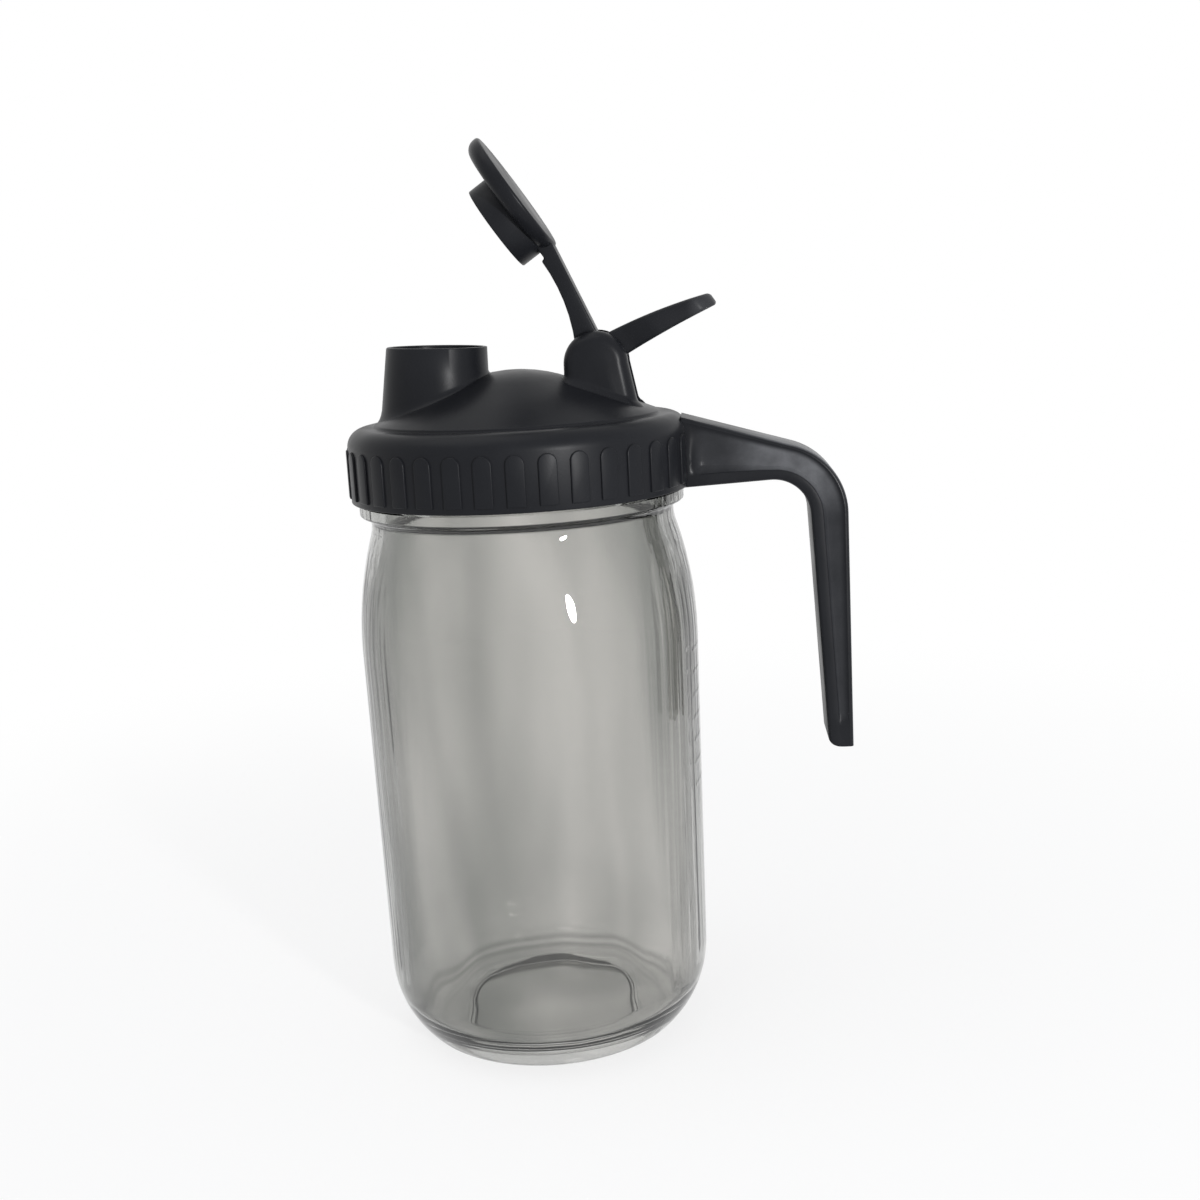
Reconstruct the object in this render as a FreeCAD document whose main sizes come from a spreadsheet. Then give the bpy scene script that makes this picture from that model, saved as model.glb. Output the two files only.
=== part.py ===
"""Mason jar pitcher: a quart glass jar, a screw lid with spout, ribbed skirt and handle, and a flip cap."""
import FreeCAD, Part
import Sketcher
import os
import re

# Driving sizes in millimetres and degrees. Z is up from the table, and the handle points to +X.
SIZES = {
    # Jar
    "jar_height": 171.0,      # table to lip
    "body_radius": 46.7,      # widest, where the shoulder starts
    "body_taper": 1.2,        # how much narrower the body is above the heel
    "glass_wall": 3.0,
    "heel_top": 22.0,         # height where the heel ends
    "toe_round": 8.0,         # round between the foot and the heel
    "foot_inset": 13.5,       # foot ring's outer edge in from the body
    "foot_width": 7.5,        # width of the ring that touches the table
    "punt": 2.8,              # depth of the hollow under the base
    "glass_floor": 6.5,       # top of the inside floor
    "inner_heel": 16.0,       # round between the floor and the inside wall
    "shoulder_drop": 58.0,    # lip down to where the shoulder starts
    "waist_drop": 23.5,       # lip down to the narrowest place, under the bead
    "waist_round": 13.4,
    "waist_inset": 0.8,       # waist in from the finish
    "finish_radius": 42.2,    # the glass that the lid screws on to
    "finish_height": 18.2,    # bead to lip
    "finish_wall": 3.8,
    "bead_ledge": 2.2,        # bead out from the finish
    "bead_round": 0.8,
    "lip_round": 1.4,
    # Lid
    "thread_room": 0.2,       # between the bead and the inside of the skirt
    "skirt_wall": 1.6,
    "skirt_height": 17.5,     # lip down to the skirt's edge
    "deck": 2.2,              # plate over the lip
    "lid_round": 4.8,         # round between the skirt and the deck
    "deck_ring": 2.7,         # flat ring round the dome
    "dome_past_spout": 1.2,   # dome's foot out past the spout's foot, at least
    "dome_step": 0.7,
    "dome_slope": 22.3,
    "dome_round": 40.0,       # round of the dome's peak
    "lid_wall": 2.0,
    "seat_overlap": 0.8,      # how far the seat reaches inside the mouth
    "rib_count": 34,
    "rib_pitch": 10.0,
    "rib_width": 4.8,
    "rib_height": 13.0,
    "rib_depth": 0.5,
    "rib_band": 1.5,          # plain band under the ribs
    # Spout
    "rim_height": 20.4,       # middle of the rim above the deck
    "rim_radius": 13.6,
    "rim_wall": 1.1,
    "rim_tilt": 2.4,          # rim lower on the hinge's side
    "spout_draft": 4.0,
    "spout_lean": 4.7,        # towards the hinge
    "spout_blend": 1.6,
    # Hinge ears
    "hinge_across": 23.4,     # jar's axis to the hinge's axis
    "hinge_height": 14.4,     # hinge's axis above the deck
    "ear_gap": 10.2,
    "ear_thick": 4.2,
    "ear_radius": 8.6,
    "ear_forward": -0.8,      # middle of the ear past the hinge
    "ear_drop": 0.4,          # middle of its round top below the hinge
    "ear_flare": 2.4,         # its foot is longer on the handle's side
    "ear_round": 3.4,
    # Handle
    "finger_room": 31.5,      # skirt to the grip, at the top
    "grip_depth": 10.5,       # grip from its inner to its outer face, at the top
    "grip_length": 74.9,      # arm's underside to the grip's end
    "arm_rise": 2.2,          # start of the arm's top above the deck
    "arm_slope": 16.7,
    "under_rise": 1.2,        # inner corner above the skirt's edge
    "under_slope": 2.6,
    "grip_taper": 2.9,
    "bend_outer": 19.5,
    "bend_inner": 10.0,
    "end_round": 2.8,
    "handle_width": 17.0,
    "handle_round": 1.0,
    "hollow_depth": 2.6,      # hollow in each side of the handle
    "thin_flange": 1.7,       # left along the top and the outer edge
    "broad_flange": 3.2,      # left along the underside and the inner edge
    "solid_end": 8.0,         # end of the grip without a hollow
    "hollow_round": 1.2,
    "hollow_share": 0.46,     # that round over the hollow's narrowest width, at most
    # Flip cap
    "open_angle": 56.3,       # how far the cap stands up from level
    "hub_radius": 6.6,
    "hub_clear": 0.3,         # between the hub and each ear
    "cap_reach": 44.2,        # hinge to the middle of the plug and of the rim
    "cap_clear": 0.3,         # between the closed cap and the rim
    "cap_thick": 4.6,
    "cap_radius": 17.2,
    "cap_forward": 4.4,       # middle of the disc past the middle of the plug
    "cap_under_round": 3.2,
    "cap_top_round": 0.8,
    "plug_length": 5.9,
    "plug_clear": 0.6,        # between the plug and the bore
    "plug_wall": 1.6,
    "arm_merge": 8.7,         # where the arm's top meets the disc, before the plug's middle
    "arm_pitch": 9.5,
    "arm_heel": 0.5,          # between the rim and the step under the arm
    "arm_step": 1.0,
    "arm_arch": 47.0,
    "arm_root": 1.15,         # how far from the hinge its arch ends, over the hub's radius
    "arm_root_turn": 20.0,    # and how far below the hinge's level
    "pin_radius": 2.0,
    "pin_length": 3.0,
    "pin_clear": 0.06,
    "pin_end": 0.3,           # between the pin's end and the bottom of its hole
    "lever_length": 34.2,
    "lever_lean": 3.0,
    "lever_tip": 3.5,
    "lever_tip_turn": 15.0,   # how far its tip's face slopes down to the back
    "lever_front": 150.0,     # radius of its front
    "lever_back": 250.0,      # radius of its back
    "lever_root": 0.97,       # how far out in the hub it starts, over the hub's radius
    "lever_root_front": 36.0, # where its front starts on the hub, above the hinge's level
    "lever_root_back": 64.0,
    "lever_neck": 10.0,       # as narrow as the hub up to here
    "lever_flare": 17.0,      # full width from here
    "lever_spread": 1.7,      # how far each side stands out past the hub
    "lever_crown": 0.5,       # its round end's radius over half its width
    "lever_round": 1.0,
}

# Levels and places that several pieces share, as formulas of the sizes. SEAL is the rim's height over
# the hinge in the closed cap's own frame, which lies square to the rim.
DECK = "(jar_height + deck)"
SKIRT_EDGE = "(jar_height - skirt_height)"
SKIRT = "(finish_radius + bead_ledge + thread_room + skirt_wall)"
SKIRT_MIDDLE = "(%s - skirt_wall/2)" % SKIRT
RIM = "(%s + rim_height)" % DECK
HINGE = "(%s + hinge_height)" % DECK
SEAL = "((rim_height - hinge_height - cap_reach*sin(rim_tilt))/cos(rim_tilt))"
SPOUT = "(hinge_across - cap_reach*cos(rim_tilt) + %s*sin(rim_tilt))" % SEAL
BORE = "(rim_radius - rim_wall)"
SPOUT_DROP = "(rim_height + dome_step)"
SPOUT_FOOT = "(%s - %s*tan(spout_lean))" % (SPOUT, SPOUT_DROP)
SPOUT_SPREAD = "(rim_radius + %s*tan(spout_draft))" % SPOUT_DROP
DOME = "max(%s - lid_round - deck_ring; %s - %s + dome_past_spout)" % (SKIRT, SPOUT_SPREAD, SPOUT_FOOT)
EAR = "(hinge_across + ear_forward)"
ARM_START = "(%s + ear_radius + ear_flare)" % EAR
HUB_WIDTH = "(ear_gap - 2*hub_clear)"
LEVER_HALF = "(%s/2 + lever_spread)" % HUB_WIDTH
CAP_UNDER = "(%s + cap_clear)" % SEAL
CAP_TOP = "(%s + cap_thick)" % CAP_UNDER

SLACK = 0.1                   # mm, for edges that are picked by their place
LEAST_CLIMB = 2.0             # mm, how much the spout's foot edge rises and falls on the dome, at least
ABOUT_Y = FreeCAD.Rotation(FreeCAD.Vector(0, 1, 0), 1)  # a formula sets each one's own angle

doc = FreeCAD.newDocument("pitcher")
sheet = doc.addObject("Spreadsheet::Sheet", "Sizes")
for row, (alias, value) in enumerate(SIZES.items(), 1):
    sheet.set("A%d" % row, alias)
    sheet.set("B%d" % row, str(value))
    sheet.setAlias("B%d" % row, alias)
doc.recompute()


def formula(text):
    """The same formula with each size read from the sheet."""
    return re.sub(r"[a-z_]+", lambda word: "Sizes." + word[0] if word[0] in SIZES else word[0], text)


def amount(text):
    """Value of a formula of the sheet's sizes."""
    return float(sheet.evalExpression(formula(text)))


def new_body(label):
    body = doc.addObject("PartDesign::Body", label)
    body.Label = label
    return body


def datum(body, role):
    """One of the body's own origin planes or axes."""
    return next(item for item in body.Origin.OriginFeatures if item.Role == role)


def new_sketch(body, name, role, offset="0"):
    """Sketch on one of the body's own planes, moved along the plane's normal by a formula."""
    sketch = body.newObject("Sketcher::SketchObject", name)
    sketch.AttachmentSupport = (datum(body, role), "")
    sketch.MapMode = "FlatFace"
    sketch.setExpression("AttachmentOffset.Base.z", formula(offset))
    return sketch


def bind(sketch, kind, place, text):
    """Dimension that follows a formula, or a point held on an axis where the formula is a plain 0."""
    from_origin = kind in ("DistanceX", "DistanceY")
    if text == "0" and from_origin:
        axis = -2 if kind == "DistanceX" else -1
        sketch.addConstraint(Sketcher.Constraint("PointOnObject", *place, axis))
        return
    ends = (-1, 1) + place if from_origin else place
    number = sketch.addConstraint(Sketcher.Constraint(kind, *ends, amount(text)))
    sketch.setExpression("Constraints[%d]" % number, formula(text))


def arc_between(start, end, radius):
    """Arc of under half a turn, turning left with a positive radius and right with a negative one."""
    chord = end - start
    half = chord.Length / 2
    rise = (radius * radius - half * half) ** 0.5
    left = FreeCAD.Vector(-chord.y, chord.x, 0).normalize()
    side = left if radius > 0 else left * -1
    centre = (start + end) / 2 + side * rise
    return Part.Arc(start, centre - side * abs(radius), end)


def outline(sketch, corners):
    """Closed outline. Each corner is (across, up), or (across, up, radius) where an arc comes to it."""
    points = [FreeCAD.Vector(amount(corner[0]), amount(corner[1]), 0) for corner in corners]
    first = []
    last = []
    for number, corner in enumerate(corners):
        start = points[number - 1]
        end = points[number]
        is_arc = len(corner) == 3
        radius = amount(corner[2]) if is_arc else 0
        edge = sketch.addGeometry(arc_between(start, end, radius) if is_arc else Part.LineSegment(start, end))
        # A sketch keeps every arc anticlockwise, so one that turns right starts at its second point.
        first.append((edge, 2 if radius < 0 else 1))
        last.append((edge, 1 if radius < 0 else 2))
    for number, corner in enumerate(corners):
        following = first[(number + 1) % len(corners)]
        sketch.addConstraint(Sketcher.Constraint("Coincident", *last[number], *following))
        bind(sketch, "DistanceX", last[number], corner[0])
        bind(sketch, "DistanceY", last[number], corner[1])
        if len(corner) == 3:
            bind(sketch, "Radius", last[number][:1], "abs(%s)" % corner[2])


def circle(sketch, across, up, radius):
    middle = FreeCAD.Vector(amount(across), amount(up), 0)
    ring = sketch.addGeometry(Part.Circle(middle, FreeCAD.Vector(0, 0, 1), amount(radius)))
    bind(sketch, "DistanceX", (ring, 3), across)
    bind(sketch, "DistanceY", (ring, 3), up)
    bind(sketch, "Radius", (ring,), radius)


def turned(body, sketch, kind="Revolution"):
    """Full turn of a sketch about the body's Z axis, added or cut."""
    feature = body.newObject("PartDesign::" + kind, sketch.Name + "_turned")
    feature.Profile = sketch
    feature.ReferenceAxis = (sketch, ["V_Axis"])
    feature.Angle = 360
    doc.recompute()


def padded(body, sketch, length, kind="Pad", both_sides=False):
    feature = body.newObject("PartDesign::" + kind, sketch.Name + "_" + kind.lower())
    feature.Profile = sketch
    feature.Midplane = both_sides
    feature.setExpression("Length", formula(length))
    doc.recompute()
    return feature


def lofted(body, low, high, kind):
    feature = body.newObject("PartDesign::" + kind, low.Name + "_loft")
    feature.Profile = low
    feature.Sections = [high]
    feature.Ruled = True
    doc.recompute()


def mirrored(body, features):
    """The same features on the far side of the plane of symmetry."""
    mirror = body.newObject("PartDesign::Mirrored", features[0].Name + "_pair")
    mirror.Originals = features
    mirror.MirrorPlane = (datum(body, "XZ_Plane"), [""])
    body.Tip = mirror
    doc.recompute()


def rounded(body, radius, wanted):
    """Round on those edges of the body so far that pass a test."""
    base = body.Tip
    names = ["Edge%d" % (number + 1) for number, edge in enumerate(base.Shape.Edges) if wanted(edge)]
    feature = body.newObject("PartDesign::Fillet", body.Name + "_round")
    feature.Base = (base, names)
    feature.setExpression("Radius", formula(radius))
    doc.recompute()
    return feature


def combined(body, others, kind="Fuse"):
    feature = body.newObject("PartDesign::Boolean", body.Name + "_" + kind.lower())
    feature.Type = kind
    feature.setObjects(others)
    doc.recompute()


def lies_at(edge, axis, *levels):
    """True where the whole edge keeps one of those coordinates."""
    box = edge.BoundBox
    low = getattr(box, axis + "Min")
    high = getattr(box, axis + "Max")
    return any(abs(low - level) < 1e-4 and abs(high - level) < 1e-4 for level in levels)


def make_jar():
    """Blown glass in one turn: foot ring, heel of two rounds, body, shoulder, waist, bead and finish."""
    heel_radius = "(body_radius - body_taper)"
    foot = "(%s - foot_inset)" % heel_radius
    heel = "((foot_inset^2 + (heel_top - toe_round)^2 - toe_round^2)/(2*(foot_inset - toe_round)))"
    toe_across = "%s + toe_round*(%s - foot_inset)/(%s - toe_round)" % (foot, heel, heel)
    toe_up = "toe_round + toe_round*(toe_round - heel_top)/(%s - toe_round)" % heel
    punt_round = "(((%s - foot_width)^2 + punt^2)/(2*punt))" % foot
    # The shoulder and the waist are two rounds that meet in a common tangent.
    waist = "(finish_radius - waist_inset)"
    narrowing = "(body_radius - %s)" % waist
    rise = "(shoulder_drop - waist_drop)"
    both = "((%s^2 + %s^2)/(2*%s))" % (narrowing, rise, narrowing)
    shoulder = "(%s - waist_round)" % both
    start = "(jar_height - shoulder_drop)"
    meet_across = "body_radius - %s*%s/%s" % (shoulder, narrowing, both)
    meet_up = "%s + %s*%s/%s" % (start, shoulder, rise, both)
    bead = "(finish_radius + bead_ledge)"
    scoop = "(%s - bead_round - %s)" % (bead, waist)
    scoop_top = "(jar_height - waist_drop + %s)" % scoop
    mouth = "(finish_radius - finish_wall)"
    inside = "(%s - glass_wall)" % shoulder
    neck_up = "%s + sqrt(%s^2 - (%s - body_radius + %s)^2)" % (start, inside, mouth, shoulder)
    body = new_body("jar")
    profile = new_sketch(body, "jar_profile", "XZ_Plane")
    outline(profile, [
        ("0", "punt"),
        (foot + " - foot_width", "0", "-" + punt_round),
        (foot, "0"),
        (toe_across, toe_up, "toe_round"),
        (heel_radius, "heel_top", heel),
        ("body_radius", start),
        (meet_across, meet_up, shoulder),
        (waist, "jar_height - waist_drop", "-waist_round"),
        (bead + " - bead_round", scoop_top, "-" + scoop),
        (bead, scoop_top + " + bead_round", "bead_round"),
        (bead, "jar_height - finish_height"),
        ("finish_radius", "jar_height - finish_height + bead_round"),
        ("finish_radius", "jar_height - lip_round"),
        ("finish_radius - lip_round", "jar_height", "lip_round"),
        (mouth + " + lip_round", "jar_height"),
        (mouth, "jar_height - lip_round", "lip_round"),
        (mouth, neck_up),
        ("body_radius - glass_wall", start, "-" + inside),
        (heel_radius + " - glass_wall", "glass_floor + inner_heel"),
        (heel_radius + " - glass_wall - inner_heel", "glass_floor", "-inner_heel"),
        ("0", "glass_floor"),
    ])
    turned(body, profile)
    return body


def make_handle():
    """Arm and grip in one outline, with a hollow in each side between a thin and a broad flange."""
    inner = "(%s + finger_room)" % SKIRT
    inner_up = "(%s + under_rise)" % SKIRT_EDGE
    outer = "(%s + grip_depth)" % inner
    end = "(%s - grip_length)" % inner_up
    middle = "(%s - bend_outer)" % outer
    top = "(%s + arm_rise)" % DECK
    bend_up = "(%s - (%s - %s)*tan(arm_slope) - bend_outer/cos(arm_slope))" % (top, middle, ARM_START)
    body = new_body("handle")

    def inner_bend(margin):
        """Corners of the inner bend, moved into the handle by a margin."""
        across = "(%s + (%s)/cos(grip_taper))" % (inner, margin)
        up = "(%s + (%s)/cos(under_slope))" % (inner_up, margin)
        radius = "(bend_inner + %s)" % margin
        reach = "(%s*tan((90 + under_slope - grip_taper)/2))" % radius
        leave = ("%s - %s*cos(under_slope)" % (across, reach), "%s - %s*sin(under_slope)" % (up, reach))
        arrive = ("%s + %s*sin(grip_taper)" % (across, reach), "%s - %s*cos(grip_taper)" % (up, reach))
        return across, up, leave, arrive + ("-" + radius,)

    def outer_bend(margin):
        """Corners of the outer bend, moved into the handle by a margin."""
        radius = "(bend_outer - %s)" % margin
        leave = (outer + " - " + margin, bend_up)
        arrive = ("%s + %s*sin(arm_slope)" % (middle, radius), "%s + %s*cos(arm_slope)" % (bend_up, radius))
        return leave, arrive + (radius,)

    across, up, under_end, grip_start = inner_bend("0")
    grip_top, bend_top = outer_bend("0")
    side = new_sketch(body, "handle_side", "XZ_Plane")
    outline(side, [
        (ARM_START, "%s - (%s - %s)*tan(under_slope)" % (up, across, ARM_START)),
        under_end,
        grip_start,
        ("%s + (grip_length - end_round)*tan(grip_taper)" % across, end + " + end_round"),
        ("%s + (grip_length - end_round)*tan(grip_taper) + end_round" % across, end, "end_round"),
        (outer, end),
        grip_top,
        bend_top,
        (ARM_START, top),
    ])
    padded(body, side, "handle_width", both_sides=True)
    face = amount("handle_width/2")
    rounded(body, "handle_round", lambda edge: lies_at(edge, "Y", face, -face))

    across, up, under_end, grip_start = inner_bend("broad_flange")
    grip_top, bend_top = outer_bend("thin_flange")
    low = "(%s + solid_end)" % end
    low_across = "(%s + (%s - %s)*tan(grip_taper))" % (across, up, low)
    hollow = new_sketch(body, "handle_hollow", "XZ_Plane", "handle_width/2")
    outline(hollow, [
        (SKIRT_MIDDLE, "%s - (%s - %s)*tan(under_slope)" % (up, across, SKIRT_MIDDLE)),
        under_end,
        grip_start,
        (low_across, low),
        (outer + " - thin_flange", low),
        grip_top,
        bend_top,
        (SKIRT_MIDDLE, "%s - (%s - %s)*tan(arm_slope) - thin_flange/cos(arm_slope)"
         % (top, SKIRT_MIDDLE, ARM_START)),
    ])
    mirrored(body, [padded(body, hollow, "hollow_depth", kind="Pocket")])
    floor = amount("handle_width/2 - hollow_depth")
    narrow = "(%s - thin_flange - %s)" % (outer, low_across)
    rounded(body, "min(hollow_round; hollow_share*%s)" % narrow, lambda edge: lies_at(edge, "Y", floor, -floor))
    return body


def make_ears():
    """Two ears with rounded outer sides that carry the flip cap's pins."""
    top = "(%s - ear_drop)" % HINGE
    body = new_body("ears")
    side = new_sketch(body, "ear_side", "XZ_Plane", "ear_gap/2")
    outline(side, [
        (EAR + " - ear_radius", DECK),
        (ARM_START, DECK),
        (EAR + " + ear_radius", top),
        (EAR, top + " + ear_radius", "ear_radius"),
        (EAR + " - ear_radius", top, "ear_radius"),
    ])
    ear = padded(body, side, "ear_thick")
    outside = amount("ear_gap/2 + ear_thick")
    foot = amount(DECK)
    blend = rounded(body, "ear_round", lambda edge: lies_at(edge, "Y", -outside) and not lies_at(edge, "Z", foot))
    mirrored(body, [ear, blend])
    return body


def rim_circle(body, name, radius):
    """Circle of that radius round the middle of the spout's rim, in the rim's tilted plane."""
    rim = new_sketch(body, name, "XY_Plane", RIM)
    rim.AttachmentOffset = FreeCAD.Placement(FreeCAD.Vector(), ABOUT_Y)
    rim.setExpression("AttachmentOffset.Base.x", formula(SPOUT))
    rim.setExpression("AttachmentOffset.Rotation.Angle", formula("rim_tilt"))
    circle(rim, "0", "0", radius)
    return rim


def add_spout(body):
    """Cone that leans to the hinge, from inside the dome to its tilted rim, with a blend at its foot."""
    low = new_sketch(body, "spout_foot", "XY_Plane", "%s - %s" % (RIM, SPOUT_DROP))
    circle(low, SPOUT_FOOT, "0", SPOUT_SPREAD)
    high = rim_circle(body, "spout_rim", "rim_radius")
    lofted(body, low, high, "AdditiveLoft")
    deck = amount(DECK)
    below_rim = amount(RIM + " - rim_radius*sin(rim_tilt)") - SLACK

    def at_foot(edge):
        box = edge.BoundBox
        return box.ZLength > LEAST_CLIMB and box.ZMin > deck and box.ZMax < below_rim

    rounded(body, "spout_blend", at_foot)


def add_bore(body):
    """Bore of the spout, from the rim down into the hollow of the lid."""
    foot = "(jar_height - deck)"
    drop = "(%s - %s)" % (RIM, foot)
    high = rim_circle(body, "bore_rim", BORE)
    low = new_sketch(body, "bore_foot", "XY_Plane", foot)
    circle(low, "%s - %s*tan(spout_lean)" % (SPOUT, drop), "0", "%s + %s*tan(spout_draft)" % (BORE, drop))
    lofted(body, high, low, "SubtractiveLoft")


def add_ribs(body):
    """Round-topped ribs all round the skirt but at the handle's root."""
    first = "(180 - (rib_count - 1)*rib_pitch/2)"
    base = "(%s + rib_band)" % SKIRT_EDGE
    top = "(%s + rib_height - rib_width/2)" % base
    rib = new_sketch(body, "rib", "YZ_Plane", "%s*cos(%s)" % (SKIRT_MIDDLE, first))
    rib.AttachmentOffset = FreeCAD.Placement(FreeCAD.Vector(), ABOUT_Y)
    rib.setExpression("AttachmentOffset.Base.x", formula("%s*sin(%s)" % (SKIRT_MIDDLE, first)))
    rib.setExpression("AttachmentOffset.Rotation.Angle", formula(first))
    outline(rib, [
        ("-rib_width/2", base),
        ("rib_width/2", base),
        ("rib_width/2", top),
        ("0", top + " + rib_width/2", "rib_width/2"),
        ("-rib_width/2", top, "rib_width/2"),
    ])
    pad = padded(body, rib, "skirt_wall/2 + rib_depth")
    ring = body.newObject("PartDesign::PolarPattern", "ribs")
    ring.Originals = [pad]
    ring.Axis = (datum(body, "Z_Axis"), [""])
    ring.setExpression("Angle", formula("(rib_count - 1)*rib_pitch"))
    ring.setExpression("Occurrences", formula("rib_count"))
    body.Tip = ring
    doc.recompute()


def make_lid():
    """Screw lid in one piece: shell, spout, ears and handle, then its hollow, bore, pin holes and ribs."""
    cone_up = "(%s + dome_step + (%s - dome_round*sin(dome_slope))*tan(dome_slope))" % (DECK, DOME)
    peak = "(%s + dome_round*(1 - cos(dome_slope)))" % cone_up
    body = new_body("lid")
    shell = new_sketch(body, "lid_shell", "XZ_Plane")
    outline(shell, [
        ("0", SKIRT_EDGE),
        (SKIRT, SKIRT_EDGE),
        (SKIRT, DECK + " - lid_round"),
        (SKIRT + " - lid_round", DECK, "lid_round"),
        (DOME, DECK),
        (DOME, DECK + " + dome_step"),
        ("dome_round*sin(dome_slope)", cone_up),
        ("0", peak, "dome_round"),
    ])
    turned(body, shell)
    add_spout(body)
    combined(body, [make_ears(), make_handle()])
    inner_round = "(dome_round - lid_wall)"
    seat = "(finish_radius - finish_wall - seat_overlap)"
    seat_up = "%s + dome_step + (%s - %s)*tan(dome_slope) - lid_wall/cos(dome_slope)" % (DECK, DOME, seat)
    below = "(%s - grip_length)" % SKIRT_EDGE
    hollow = new_sketch(body, "lid_hollow", "XZ_Plane")
    outline(hollow, [
        ("0", below),
        (SKIRT + " - skirt_wall", below),
        (SKIRT + " - skirt_wall", "jar_height"),
        (seat, "jar_height"),
        (seat, seat_up),
        (inner_round + "*sin(dome_slope)", cone_up + " - lid_wall*cos(dome_slope)"),
        ("0", peak + " - lid_wall", inner_round),
    ])
    turned(body, hollow, "Groove")
    add_bore(body)
    holes = new_sketch(body, "pin_holes", "XZ_Plane")
    circle(holes, "hinge_across", HINGE, "pin_radius + pin_clear")
    padded(body, holes, HUB_WIDTH + " + 2*(pin_length + pin_end)", kind="Pocket", both_sides=True)
    add_ribs(body)
    return body


def make_lever():
    """Thumb lever: its bent side outline, kept only where it lies inside its tongue-shaped front outline."""
    root = "lever_root*hub_radius"
    body = new_body("lever")
    side = new_sketch(body, "lever_side", "XZ_Plane")
    outline(side, [
        (root + "*cos(lever_root_back)", root + "*sin(lever_root_back)"),
        ("lever_lean + lever_tip*cos(lever_tip_turn)", "lever_length - lever_tip*sin(lever_tip_turn)",
         "-lever_back"),
        ("lever_lean", "lever_length"),
        ("-%s*cos(lever_root_front)" % root, root + "*sin(lever_root_front)", "lever_front"),
    ])
    padded(body, side, "2*" + LEVER_HALF, both_sides=True)
    tongue = new_body("tongue")
    front = new_sketch(tongue, "lever_tongue", "YZ_Plane")
    end = "(%s + lever_crown)" % LEVER_HALF
    corner = "lever_length - %s + sqrt(%s^2 - %s^2)" % (end, end, LEVER_HALF)
    outline(front, [
        ("-%s/2" % HUB_WIDTH, "-hub_radius"),
        ("%s/2" % HUB_WIDTH, "-hub_radius"),
        ("%s/2" % HUB_WIDTH, "lever_neck"),
        (LEVER_HALF, "lever_flare"),
        (LEVER_HALF, corner),
        ("0", "lever_length", end),
        ("-" + LEVER_HALF, corner, end),
        ("-" + LEVER_HALF, "lever_flare"),
        ("-%s/2" % HUB_WIDTH, "lever_neck"),
    ])
    past_both_faces = "2*(lever_lean + lever_tip + lever_length)"
    padded(tongue, front, past_both_faces, both_sides=True)
    combined(body, [tongue], "Common")
    neck = amount("lever_neck")
    rounded(body, "lever_round", lambda edge: edge.BoundBox.ZMax > neck + SLACK)
    return body


def make_flip_cap():
    """Flip cap, drawn level about its hinge and then turned open: disc, plug, arm, hub, pins and lever."""
    disc_across = "-(cap_reach + cap_forward)"
    merge = "-(cap_reach - arm_merge)"
    heel = "-(cap_reach - rim_radius - arm_heel)"
    root = "arm_root*hub_radius"
    body = new_body("flip_cap")
    disc = new_sketch(body, "cap_disc", "XY_Plane", CAP_UNDER)
    circle(disc, disc_across, "0", "cap_radius")
    padded(body, disc, "cap_thick")
    under = amount(CAP_UNDER)
    top = amount(CAP_TOP)
    rounded(body, "cap_under_round", lambda edge: lies_at(edge, "Z", under))
    rounded(body, "cap_top_round", lambda edge: lies_at(edge, "Z", top))
    arm = new_sketch(body, "cap_arm", "XZ_Plane")
    outline(arm, [
        (merge, CAP_UNDER),
        (heel, CAP_UNDER),
        (heel, CAP_UNDER + " - arm_step"),
        ("-%s*cos(arm_root_turn)" % root, "-%s*sin(arm_root_turn)" % root, "-arm_arch"),
        ("0", "0"),
        ("0", "%s + (%s)*tan(arm_pitch)" % (CAP_TOP, merge)),
        (merge, CAP_TOP),
    ])
    padded(body, arm, HUB_WIDTH, both_sides=True)
    hub = new_sketch(body, "cap_hub", "XZ_Plane")
    circle(hub, "0", "0", "hub_radius")
    padded(body, hub, HUB_WIDTH, both_sides=True)
    pins = new_sketch(body, "cap_pins", "XZ_Plane")
    circle(pins, "0", "0", "pin_radius")
    padded(body, pins, HUB_WIDTH + " + 2*pin_length", both_sides=True)
    plug = new_sketch(body, "cap_plug", "XY_Plane", CAP_UNDER + " - plug_length")
    circle(plug, "-cap_reach", "0", BORE + " - plug_clear")
    circle(plug, "-cap_reach", "0", BORE + " - plug_clear - plug_wall")
    padded(body, plug, "plug_length + cap_thick/2")
    combined(body, [make_lever()])
    body.Placement = FreeCAD.Placement(FreeCAD.Vector(), ABOUT_Y)
    body.setExpression("Placement.Base.x", formula("hinge_across"))
    body.setExpression("Placement.Base.z", formula(HINGE))
    body.setExpression("Placement.Rotation.Angle", formula("open_angle"))
    doc.recompute()
    return body


nodes = [make_jar(), make_lid(), make_flip_cap()]
doc.recompute()
for item in doc.Objects:
    if "Invalid" in item.State or "Error" in item.State:
        raise RuntimeError(item.Name + " failed to build")
for node in nodes:
    if node.Shape.isNull() or not node.Shape.isValid() or len(node.Shape.Solids) != 1:
        raise RuntimeError(node.Label + " is not one valid solid")
os.makedirs("parts", exist_ok=True)
for node in nodes:
    node.Shape.exportStep("parts/%s.step" % node.Label)
    print("%s: %.1f cm3" % (node.Label, node.Shape.Volume / 1000))
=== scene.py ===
# %% [markdown]
# # A jar pitcher
# A quart glass jar with a black screw lid. The lid is one moulding: a ribbed skirt, a domed top, a pouring
# spout, two hinge ears and a side handle. A flip cap with a thumb lever turns between the ears.
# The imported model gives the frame: every piece here is built in metres, in the same place as its solid.

# %% Load the frame
import bpy
import bmesh
import math
from mathutils import Matrix, Vector


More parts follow.
